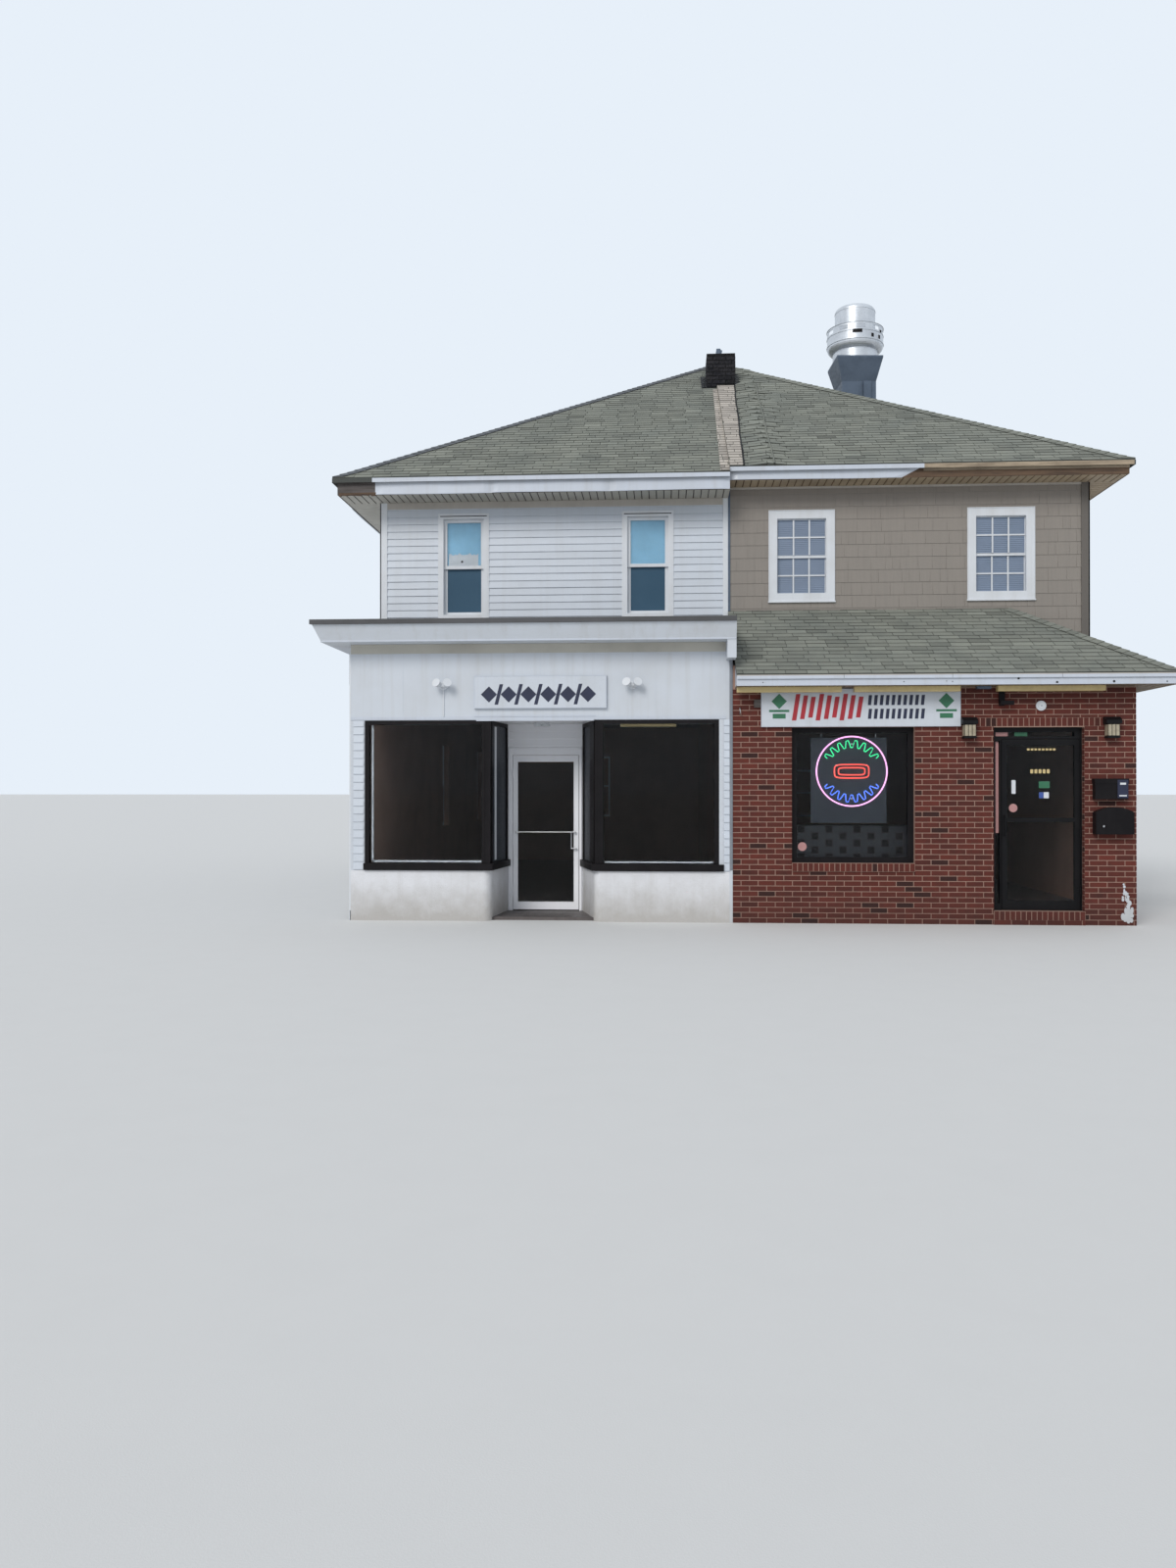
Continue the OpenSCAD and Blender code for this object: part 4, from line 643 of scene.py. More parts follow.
def lap_siding(wall, u0, u1, v0, v1, holes, rng, course=0.1016, panel=3.66):
    """White lap siding: each course leans out to its lower lip, in panels with a faint sine wave."""
    parts = []
    count = int(math.ceil((v1 - v0) / course - 1e-6))
    for k in range(count):
        low_v, top_v = v0 + k * course, min(v0 + (k + 1) * course, v1)
        shift = rng.uniform(0, panel)
        for a, b, foot, head in course_parts(u0, u1, low_v, top_v, holes):
            cuts = [a] + [c for c in np.arange(u0 - shift, u1, panel) if a + 0.3 < c < b - 0.3] + [b]
            for index, (p, q) in enumerate(zip(cuts[:-1], cuts[1:])):
                u = np.linspace(p, q, max(2, int((q - p) / 0.22) + 1))
                wave = 0.0016 * np.sin(u * 7.0 + rng.uniform(0, 6)) * rng.uniform(0.2, 1.0) + 0.0012 * (index % 2)
                lip = 0.0145 - 0.011 * (foot - low_v) / course
                rows = [(foot, 0 * u), (foot, lip - 0.0015 + wave), (foot + 0.3 * min(0.02, head - foot), lip + wave),
                        (head, 0.0145 - 0.011 * (head - low_v) / course + 0.5 * wave)]
                points, quads = sheet([np.stack([u, v + 0 * u, w], -1) for v, w in rows], wall)
                tone = np.full(len(quads), 0.5 + rng.uniform(-0.05, 0.05))
                # The lip's underside is toned dark: painted shade under each course.
                tone[:len(u) - 1] = -0.15
                parts.append((points, quads, tone))
    return join(parts)


def shake_siding(wall, u0, u1, v0, v1, holes, rng, course=0.176, groove=0.003):
    """Tan shakes: wedges of random width with a narrow groove between them, before a plain sheet."""
    parts = []
    for k in range(int(math.ceil((v1 - v0) / course - 1e-6))):
        low_v, top_v = v0 + k * course, min(v0 + (k + 1) * course, v1)
        for a, b, foot, head in course_parts(u0, u1, low_v, top_v, holes):
            widths = rng.choice([0.10, 0.14, 0.19, 0.25, 0.32], int((b - a) / 0.09) + 2)
            edges = np.concatenate([[a], a + np.cumsum(widths)])
            edges = np.concatenate([edges[edges < b - 0.03], [b]])
            p, q = edges[:-1] + groove / 2, edges[1:] - groove / 2
            face = 0.0105 + rng.uniform(-0.0003, 0.0003, len(p))
            local, quads = wedges((p, q, foot, face), (p, q, head, 0.0045))
            # Painted shade: the butt face is toned darkest and the sides darker, as shade under and between the shakes.
            tone = 0.5 + rng.uniform(-0.02, 0.02, len(p))[:, None] - np.array([0.34, 0, 0.1, 0.1])
            parts.append((wall.out(local), quads, tone))
            # The plain sheet behind the grooves is toned dark: painted shade in the grooves.
            behind = [(a, foot, 0.004), (b, foot, 0.004), (b, head, 0.004), (a, head, 0.004)]
            parts.append((wall.out(behind), [(0, 1, 2, 3)], [0.38]))
    return join(parts)


# A brick's length and height, the joint, a course of both, and how far the faces stand out
BRICK_L, BRICK_H, JOINT = 0.2034, 0.0568, 0.0099
COURSE = BRICK_H + JOINT
BRICK_FACE = 0.0045


def brick_tones(count, rng):
    """Mostly near 0.5, with about one brick in sixteen burnt dark."""
    tone = 0.5 + rng.normal(0, 0.06, count)
    tone[rng.random(count) < 0.065] = 0.16
    return np.clip(tone, 0.12, 0.72)


def running_bond(wall, u0, u1, v0, v1, holes, rng):
    """Bevelled bricks in courses shifted by half a brick, cut at the edges of the wall and its holes."""
    boxes = []
    for k in range(int((v1 - v0) / COURSE)):
        low_v = v0 + k * COURSE
        for a, b, foot, head in course_parts(u0, u1, low_v, low_v + BRICK_H, holes):
            start = u0 - (BRICK_L + JOINT) * (0.5 if k % 2 else 0.0)
            left = start + (BRICK_L + JOINT) * np.arange(int((u1 - start) / (BRICK_L + JOINT)) + 1)
            p, q = np.maximum(left, a), np.minimum(left + BRICK_L, b)
            keep = q - p > 0.006
            boxes += [(x, y, foot, head) for x, y in zip(p[keep], q[keep]) if head - foot > 0.008]
    boxes = np.array(boxes)
    points, quads = plates(boxes, BRICK_FACE + rng.uniform(-0.0008, 0.0008, len(boxes)), 0.0025)
    return wall.out(points), quads, np.repeat(brick_tones(len(boxes), rng), len(PLATE_QUADS))


def rowlock(wall, u0, u1, v0, v1, face, rng):
    """Bricks on edge beside each other between u0 and u1."""
    count = max(1, round((u1 - u0) / COURSE))
    left = np.linspace(u0, u1, count + 1)[:-1]
    width = (u1 - u0) / count - JOINT
    boxes = np.stack([left + JOINT / 2, left + JOINT / 2 + width, np.full(count, v0), np.full(count, v1)], 1)
    points, quads = plates(boxes, face, 0.0025)
    return wall.out(points), quads, np.repeat(brick_tones(count, rng), len(PLATE_QUADS))


FRONT = facing(HOUSE_Y)
SHOP = facing(0)
RECESS = facing(RECESS_Y)
LEFT = Frame((-UNIT, 0, 0), (0, -1, 0))
RIGHT = Frame((UNIT, 0, 0), (0, 1, 0))
REAR = Frame((0, REAR_Y, 0), (-1, 0, 0))


def dress_left_walls():
    """Lap siding on the white half's walls, between the display windows and in the recess."""
    rng = np.random.default_rng(11)
    flat_top = high("flat_roof")[2]
    cornice_low = low("cornice")[2]
    base = 0.12
    parts = [
        lap_siding(FRONT, -UNIT, 0, flat_top + 0.01, SOFFIT_L - 0.002, holes_on(FRONT, LEFT_WINDOWS), rng),
        lap_siding(LEFT, -REAR_Y, -HOUSE_Y, base, SOFFIT_L - 0.002, holes_on(LEFT, LEFT_WINDOWS), rng),
        lap_siding(REAR, 0, UNIT, base, SOFFIT_L - 0.002, holes_on(REAR, LEFT_WINDOWS), rng),
        lap_siding(LEFT, -HOUSE_Y, 0, base, cornice_low - 0.005, [], rng),
        lap_siding(SHOP, -UNIT + 0.035, low("display_frames")[0] - 0.002, RISER_Z + 0.01, HEAD_Z, [], rng),
        lap_siding(SHOP, high("display_frames")[0] + 0.002, high("shop_piers")[0], RISER_Z + 0.01, HEAD_Z, [], rng),
    ]
    make_piece("lap_siding", parts, SHADED_SIDING)
    panel_low, panel_high = low("door_head_panel"), high("door_head_panel")
    panel = lap_siding(RECESS, panel_low[0], panel_high[0], panel_low[2] + 0.005, HEAD_Z - 0.003, [], rng)
    make_piece("recess_siding", [panel], LIT_DOOR_WHITE, "white_siding")


def dress_right_walls():
    """Shakes on the tan half's upper walls."""
    rng = np.random.default_rng(12)
    parts = [shake_siding(wall, u0, u1, v0, SOFFIT_R - 0.002, holes_on(wall, RIGHT_WINDOWS), rng)
             for wall, u0, u1, v0 in ((FRONT, 0.02, UNIT, high("pent_roof")[2] - 1.2), (RIGHT, HOUSE_Y, REAR_Y, 0.12),
                                      (REAR, -UNIT, 0, 0.12))]
    make_piece("shake_siding", parts, SHAKE)


def dress_brick():
    """Bricks on the brick front and its side, in the doorway, and as rowlocks over it and on the sills."""
    rng = np.random.default_rng(13)
    top = low("pent_soffit")[2]
    left_u = low("brick_wall")[0]
    window = (low("brick_window_frame"), high("brick_window_frame"))
    door_low, door_high = low("right_door_frame"), high("right_door_frame")
    sills = sorted(solids("brick_sills"), key=lambda box: box[0][0])
    u0, u1, v0, v1 = lintel = (2.955, 4.60, door_high[2] + 0.012, door_high[2] + 0.114)
    holes = holes_on(SHOP, [window, (door_low, door_high)] + sills, margin=0.001)
    holes.append((u0 - 0.005, u1 + 0.005, v0 - 0.004, v1 + 0.004))
    parts = [running_bond(SHOP, left_u, UNIT, 0.004, top, holes, rng),
             running_bond(RIGHT, 0, HOUSE_Y, 0.004, top, [], rng),
             rowlock(SHOP, *lintel, BRICK_FACE, rng)]
    for box_low, box_high in sills:
        wall = facing(box_low[1])
        row_low = max(box_low[2] + 0.004, box_high[2] - 0.108)
        if row_low - box_low[2] > 0.03:
            parts.append(running_bond(wall, box_low[0], box_high[0], 0.003, COURSE + 0.004, [], rng))
        parts.append(rowlock(wall, box_low[0], box_high[0], row_low, box_high[2] - 0.003, BRICK_FACE, rng))
    reveal = door_low[1] - 0.002
    for x, way, u0, u1 in ((door_low[0], 1, 0.002, reveal), (door_high[0], -1, -reveal, -0.002)):
        parts.append(running_bond(Frame((x, 0, 0), (0, way, 0)), u0, u1, 0.172, door_high[2], [], rng))
    make_piece("bricks", parts, BRICK)


# Tab shingles: a course's height, a tab's width, the slot between tabs and the butt's thickness
EXPOSURE, TAB, SLOT, BUTT = 0.127, 0.26, 0.008, 0.009


def shingle_slope(slope, reach_v, left_of, right_of, rng, bulge=None):
    """Tabs as thin wedges in staggered courses; left_of and right_of give the slope's side edges at a height v."""
    parts = []
    for k in range(int(math.ceil(reach_v / EXPOSURE))):
        v0, v1 = k * EXPOSURE, min((k + 1) * EXPOSURE + 0.01, reach_v)
        a0, b0, a1, b1 = left_of(v0), right_of(v0), left_of(v1), right_of(v1)
        if b0 - a0 < 0.03:
            continue
        start = a0 - rng.uniform(0, TAB)
        left = start + TAB * np.arange(int((b0 - start) / TAB) + 2)
        p0, q0 = np.clip(left, a0, b0), np.clip(left + TAB - SLOT, a0, b0)
        p1, q1 = np.clip(left, a1, b1), np.clip(left + TAB - SLOT, a1, b1)
        keep = (q0 - p0 > 0.01)
        p0, q0, p1, q1 = p0[keep], q0[keep], p1[keep], np.maximum(q1[keep], p1[keep])
        n = len(p0)
        drop = rng.uniform(-0.004, 0.004, n) + (0.0 if k else 0.013)    # the first course stays inside the eave
        thick = BUTT + rng.uniform(-0.0015, 0.0025, n)
        local, quads = wedges((p0, q0, v0 + drop, thick), (p1, q1, v1, 0.002))
        if bulge is not None:
            local[:, 2] += bulge(local[:, 0]) * (local[:, 2] > 0)
        shade = 0.5 + rng.normal(0, 0.05, n)
        shade[rng.random(n) < 0.05] -= 0.1
        # Painted shade: each tab's butt is toned darkest and its sides darker, as shade under the next course and in
        # the slots.
        tone = shade[:, None] - np.array([0.36, 0.0, 0.15, 0.15])
        parts.append((slope.out(local), quads, np.clip(tone, 0.08, 0.8)))
    return join(parts)


def roof_facts(node_name):
    """Reach past the party line, front and rear eave, and ridge height of a roof half."""
    box_low, box_high = low(node_name), high(node_name)
    reach = max(abs(box_low[0]), abs(box_high[0]))
    return reach, box_low[1], box_high[1], box_high[2]


def roof_slopes(node_name, side):
    """The three slopes of one half: (frame, length up the slope, left edge, right edge)."""
    reach, front_y, rear_y, ridge_z = roof_facts(node_name)
    rise = ridge_z - EAVE_TOP[node_name]
    run = math.hypot(reach, rise)
    ease = reach / run
    eave_z = EAVE_TOP[node_name]
    climb = np.array([0, reach, rise])
    if side < 0:
        front_edges = (lambda v: -(reach - v * ease), lambda v: 0.0)
        rear_edges = (lambda v: 0.0, lambda v: reach - v * ease)
        flank = Frame((-reach, rear_y, eave_z), (0, -1, 0), (reach, 0, rise))
    else:
        front_edges = (lambda v: 0.0, lambda v: reach - v * ease)
        rear_edges = (lambda v: -(reach - v * ease), lambda v: 0.0)
        flank = Frame((reach, front_y, eave_z), (0, 1, 0), (-reach, 0, rise))
    length = rear_y - front_y
    return [
        (Frame((0, front_y, eave_z), (1, 0, 0), climb), run) + front_edges,
        (Frame((0, rear_y, eave_z), (-1, 0, 0), climb * [1, -1, 1]), run) + rear_edges,
        (flank, run, lambda v: v * ease, lambda v: length - v * ease),
    ]


EDGE = 0.002    # points this near the outermost one lie on the same edge


def eave_top(node_name):
    """Height of the covering at a roof half's outer edge: the highest point there."""
    points = node_points(node_name)
    reach = np.abs(points[:, 0])
    return points[reach > reach.max() - EDGE][:, 2].max()


EAVE_TOP = {name: eave_top(name) for name in ("roof_left", "roof_right", "pent_roof")}


def eave_low(node_name):
    """Height of the slab's lower edge along a roof half's front eave."""
    points = node_points(node_name)
    return points[points[:, 1] < points[:, 1].min() + EDGE][:, 2].min()


def hip_caps(foot, top, side_a, side_b, outward, rng, wide=0.15):
    """Folded caps along a hip: each is a spine from foot to top with an arm down either slope.

    side_a and side_b are the ways down the slopes, outward the way that the faces look.
    """
    foot, top = np.array(foot, float), np.array(top, float)
    length = np.linalg.norm(top - foot)
    way = (top - foot) / length
    arms = []
    for side in (side_a, side_b):
        arm = np.array(side, float)
        arm -= way * (arm @ way)
        arms.append(arm / np.linalg.norm(arm))
    lift = -(arms[0] + arms[1])
    lift /= np.linalg.norm(lift)
    parts = []
    for s in np.arange(0.014, length - 0.05, EXPOSURE):
        t = min(s + EXPOSURE * 1.5, length)
        rise, tail = 0.022 + rng.uniform(-0.001, 0.002), 0.012
        w = wide + rng.uniform(-0.006, 0.006)
        rows = []
        side_s = max(s, 1.12 * w)    # the first caps are cut back to the eaves
        for at, side_at, high_by in ((s, side_s, rise), (t, max(t, side_s), tail)):
            spine = foot + way * at + lift * high_by
            for arm in (arms[0], None, arms[1]):
                rows.append(spine if arm is None else foot + way * side_at + arm * w + lift * high_by * 0.9)
        under = [foot + way * side_s + arms[0] * w, foot + way * s, foot + way * side_s + arms[1] * w]
        points = np.array(rows + under)
        quads = np.array([[0, 1, 4, 3], [1, 2, 5, 4], [6, 7, 1, 0], [7, 8, 2, 1]])
        shade = 0.5 + rng.normal(0, 0.05)
        # The caps' lower edge faces are toned darker: painted shade under each cap.
        parts.append((points, quads, [shade, shade, shade - 0.3, shade - 0.3]))
    points, quads, tone = join(parts)
    a, b, c = (points[quads[:, k]] for k in range(3))
    inward = np.cross(b - a, c - a) @ np.array(outward, float) < 0
    quads[inward] = quads[inward][:, ::-1]
    return points, quads, tone


def pent_slopes():
    """The pent roof's front and end slopes with their lengths and side edges, and its hip's foot and top."""
    points = node_points("pent_roof")
    (_, y0, _), (x1, y1, ridge_z) = points.min(0), points.max(0)
    ridge_x = points[points[:, 2] > ridge_z - EDGE][:, 0].max()
    eave = points[points[:, 1] < y0 + EDGE]
    eave_z = eave[:, 2].max()
    end_z = points[points[:, 0] > x1 - EDGE][:, 2].max()
    corner_x = eave[eave[:, 2] > eave_z - EDGE][:, 0].max()
    run, rise, reach = y1 - y0, ridge_z - eave_z, corner_x - ridge_x
    front_l, end_l = math.hypot(run, rise), math.hypot(x1 - ridge_x, ridge_z - end_z)
    front = (Frame((0, y0, eave_z), (1, 0, 0), (0, run, rise)), front_l, lambda v: 0.0,
             lambda v: corner_x - reach * v / front_l)
    end = (Frame((x1, y0, end_z), (0, 1, 0), (ridge_x - x1, 0, ridge_z - end_z)), end_l,
           lambda v: run * v / end_l, lambda v: run)
    return front, end, (corner_x, y0, eave_z), (ridge_x, y1, ridge_z)


def dress_pent_roof():
    """Shingles and hip caps on the pent roof."""
    rng = np.random.default_rng(15)
    front, end, foot, top = pent_slopes()
    make_piece("pent_tabs", [shingle_slope(*slope, rng) for slope in (front, end)], SHINGLE)
    caps = hip_caps(foot, top, (0, -1, -0.535), (1, 0, -0.74), (0.4, -0.4, 1), rng, wide=0.13)
    make_piece("pent_caps", [caps], SHINGLE)


def dress_tan_strip():
    """Tan tabs laid up both front slopes at the party line, a sheet down the step toned a little darker as painted
    shade, and a black line at their right that is a painted shadow.
    """
    rng = np.random.default_rng(16)
    right = roof_slopes("roof_right", 1)[0][0]
    left = roof_slopes("roof_left", -1)[0][0]
    reach = (low("chimney")[1] - right.origin[1]) / right.v[1]
    parts = []
    for slope, left_of, right_of in ((right, lambda v: 0.003, lambda v: 0.18 + 0.022 * v),
                                     (left, lambda v: -0.13 + 0.012 * v, lambda v: -0.004)):
        raised = Frame(slope.origin + 0.010 * slope.w, slope.u, slope.v)
        parts.append(shingle_slope(raised, reach, left_of, right_of, rng))
    v = np.linspace(0.0, reach, 40)
    foot = left.out(np.stack([np.full(40, -0.004), v, np.full(40, 0.004)], -1))
    head = right.out(np.stack([np.full(40, -0.004), v - 0.07, np.full(40, 0.019)], -1))
    # The step sheet is toned a little darker: painted shade on the step.
    parts.append((*sheet([foot, head], flip=True), np.full(39, 0.42)))
    make_piece("tan_tabs", parts, TAN_SHINGLE)
    # A black line right of the tan tabs: a painted shadow of their raised edge.
    wobble = 0.006 * np.sin(3.1 * v) + 0.003 * np.sin(11 * v)
    edge = [np.stack([0.192 + 0.022 * v + off + wobble, v, np.full_like(v, rise)], -1)
            for off, rise in ((-0.016, 0.012), (-0.010, 0.024), (0.004, 0.024), (0.014, 0.0))]
    make_piece("strip_shadow_line", [sheet(edge, right, flip=True)], TAR_AND_SHADOW, smooth=True)
    fold = [np.stack([0.60 + 0.008 * v + off + wobble, v, np.full_like(v, rise)], -1)
            for off, rise in ((-0.012, 0.020), (-0.008, 0.040), (0.004, 0.044), (0.016, 0.030), (0.026, 0.0))]
    # Toned darker towards the fold's right side: painted shade on that side.
    tone = np.repeat([0.5, 0.45, 0.25, 0.15], len(v) - 1)
    make_piece("roof_fold", [(*sheet(fold, right, flip=True), tone)], SHINGLE)


def dress_roofs():
    """Shingles on the main roof, with a hump right of the party line, and caps on its hips and ridge."""
    rng = np.random.default_rng(14)
    parts = []
    for name, side in (("roof_left", -1), ("roof_right", 1)):
        for index, (slope, run, left_of, right_of) in enumerate(roof_slopes(name, side)):
            hump = (lambda u: 0.03 * np.exp(-((u - 0.55) / 0.16) ** 2)) if side > 0 and index == 0 else None
            parts.append(shingle_slope(slope, run, left_of, right_of, rng, bulge=hump))
    make_piece("roof_tabs", parts, SHINGLE)
    caps, dark = [], []
    for name, side in (("roof_left", -1), ("roof_right", 1)):
        reach, front_y, rear_y, ridge_z = roof_facts(name)
        eave_z = EAVE_TOP[name]
        for y_foot, y_top, way in ((front_y, front_y + reach, -1), (rear_y, rear_y - reach, 1)):
            found, wide = (dark, 0.11) if (side, way) == (-1, -1) else (caps, 0.15)
            found.append(hip_caps((side * reach, y_foot, eave_z), (0, y_top, ridge_z), (side, 0, -0.62),
                                  (0, way, -0.62), (side * 0.4, way * 0.4, 1), rng, wide))
    reach, front_y, rear_y, ridge_z = roof_facts("roof_right")
    caps.append(hip_caps((0, front_y + reach, ridge_z), (0, rear_y - reach, ridge_z), (1, 0, -0.62), (-1, 0, -0.62),
                         UP, rng))
    make_piece("roof_caps", caps, SHINGLE)
    make_piece("dark_caps", dark, HIP_CAP)


def ring(u0, u1, v0, v1, band, w0, w1):
    """Rows of the four bars that frame a rectangle from outside."""
    return [(u0 - band, u1 + band, v1, v1 + band, w0, w1), (u0 - band, u1 + band, v0 - band, v0, w0, w1),
            (u0 - band, u0, v0, v1, w0, w1), (u1, u1 + band, v0, v1, w0, w1)]


def trim_walls(name, groups, material, slot=None, **more):
    """One piece of closed boxes: groups pairs a wall frame with its rows."""
    return make_piece(name, [bars(wall, rows) for wall, rows in groups if rows], material, slot, **more)


def trim(name, wall, rows, material, slot=None, **more):
    """One piece of closed boxes on a wall."""
    return trim_walls(name, [(wall, rows)], material, slot, **more)


def slats(wall, u0, u1, v0, v1, w, pitch=0.025):
    """A slatted sheet: each slat leans out 6 mm to its lower lip and steps back under it."""
    count = int((v1 - v0) / pitch)
    v = np.repeat(v0 + (v1 - v0) / count * np.arange(count + 1), 2)[1:-1]
    out = np.tile([0.006, 0.0], count) + w
    return sheet(np.stack([np.stack([u + 0 * v, v, out], -1) for u in (u0, u1)], 1), wall)


def dress_windows():
    """Bars, blinds and sheets at each pane, and a channel or casing round each frame."""
    found = {name: [] for name in ("muntins", "sheets", "screens", "channels", "shadow_lines", "backs", "bands")}
    blinds = []

    def add(name, wall, *rows):
        found[name].append((wall, rows))

    for wall in (FRONT, LEFT, RIGHT, REAR):
        for u0, u1, v0, v1, w0, w1 in local_boxes(wall, PANES, 0.2):
            upper = w1 > -0.06
            add("backs", wall, (u0 - 0.02, u1 + 0.02, v0 - 0.02, v1 + 0.02, w0 - 0.028, w0 - 0.020))
            if wall.out([u0, v0, w0])[0] < 0:
                # A bright light-blue sheet behind each pane: partly a sheet, partly a painted reflection of the sky.
                add("sheets", wall, (u0, u1, v0, v1, w0 - 0.012, w0 - 0.008))
                if not upper:
                    add("screens", wall, (u0, u1, v0, v1, w1 + 0.004, w1 + 0.006))
                continue
            u0, u1 = u0 - 0.034, u1 + 0.034
            v0, v1 = (v0 - 0.008, v1 + 0.032) if upper else (v0 - 0.032, v1)
            for u in (u0 + (u1 - u0) / 3, u0 + (u1 - u0) * 2 / 3):
                add("muntins", wall, (u - 0.010, u + 0.010, v0, v1, w1 + 0.0235, w1 + 0.031))
            v = (v0 + v1) / 2
            add("muntins", wall, (u0, u1, v - 0.010, v + 0.010, w1 + 0.0235, w1 + 0.030))
            blinds.append(slats(wall, u0, u1, v0, v1, w1 + 0.0145))
        for u0, u1, v0, v1, w0, w1 in local_boxes(wall, LEFT_WINDOWS, 0.2):
            add("channels", wall, *ring(u0, u1, v0, v1, 0.024, 0.0, 0.0195))
            # A black bar under each left window's head: a painted shadow line in the gap there.
            add("shadow_lines", wall, (u0 + 0.006, u1 - 0.006, v1 - 0.020, v1 - 0.008, w1 - 0.001, w1 + 0.002))
        for u0, u1, v0, v1, w0, w1 in local_boxes(wall, RIGHT_WINDOWS, 0.2):
            add("bands", wall, *ring(u0, u1, v0, v1, 0.012, 0.0, 0.030),
                (u0 - 0.02, u1 + 0.02, v0 - 0.024, v0 - 0.002, 0.0, 0.036))
    for name, material in (("muntins", WHITE_VINYL), ("sheets", SKY_SHEET), ("screens", SCREEN), ("channels", WHITE_VINYL),
                           ("shadow_lines", BLACK_METAL), ("backs", PLASTER), ("bands", WHITE_VINYL)):
        trim_walls("window_" + name, found[name], material, bevel=0.003 if name == "bands" else 0)
    make_piece("window_blinds", blinds, BLIND)
    u0, u1, v0, _, w0, _ = local_boxes(FRONT, PANES, 0.2)[0]
    k = np.arange(15)
    u = np.linspace(u0 + 0.02, u1 - 0.04, 15)
    torn = [np.stack([u, v + 0 * k, w0 - 0.004 + 0 * k], -1)
            for v in (v0 + 0.004, v0 + 0.165 + 0.012 * np.sin(9 * k) + 0.01 * np.cos(5 * k))]
    make_piece("torn_sheet", [sheet(torn, FRONT)], WHITE_VINYL)
    make_piece("sheet_hole", [disc(FRONT, (u0 + 0.21, v0 + 0.062), 0.016, w0 - 0.004, w0 - 0.003)], BLACK_METAL)


def wrap(wall, u0, u1, v0, v1, phase, slant=0.0, lift=0.0):
    """Metal over a board: a grid that stands out about a centimetre, waves along u and closes at its ends."""
    t = np.linspace(0, 1, max(4, int(abs(u1 - u0) / 0.1)))
    rows = []
    for share, off in ((0.0, 0.0), (0.0, 0.012), (0.06, 0.014), (0.5, 0.010), (0.94, 0.011), (1.0, 0.0)):
        u = u0 + t * (u1 + slant * share - u0)
        stand = (off + lift + 0.0022 * np.sin(6.0 * u + phase + 2 * share) + 0.001) * (off > 0)
        stand[[0, -1]] = 0.0
        sag = 0.004 * np.sin(2.1 * u + phase) * (1 - share)
        rows.append(np.stack([u, v0 + share * (v1 - v0) + sag, stand], -1))
    return sheet(rows, wall)


def wraps_along(wall, u0, u1, v0, v1, phase, slant=0.0, length=1.65):
    """Lengths of wrap one after another, each lapped 20 mm over the last and a little proud of it."""
    edges = np.linspace(u0, u1, max(2, int(round((u1 - u0) / length)) + 1))
    last = len(edges) - 2
    return [wrap(wall, a - (0.02 if k else 0.0), b, v0, v1, phase + k, slant if k == last else 0.0, 0.0012 * (k % 2))
            for k, (a, b) in enumerate(zip(edges[:-1], edges[1:]))]


def ribs(box_low, box_high, z, along_x, pitch=0.102):
    """Raised bands under a soffit, narrow grooves between them; along_x says which way they lie."""
    under = Frame((0, 0, z), (1, 0, 0), (0, -1, 0))
    u0, u1, v0, v1 = box_low[0], box_high[0], -box_high[1], -box_low[1]
    start, end = (v0, v1) if along_x else (u0, u1)
    edge = np.arange(start, end - 0.02, pitch)
    stop = np.minimum(edge + pitch - 0.014, end)
    boxes = [(u0, u1, a, b) if along_x else (a, b, v0, v1) for a, b in zip(edge, stop)]
    points, quads = plates(boxes, 0.006, 0.004)
    return under.out(points), quads


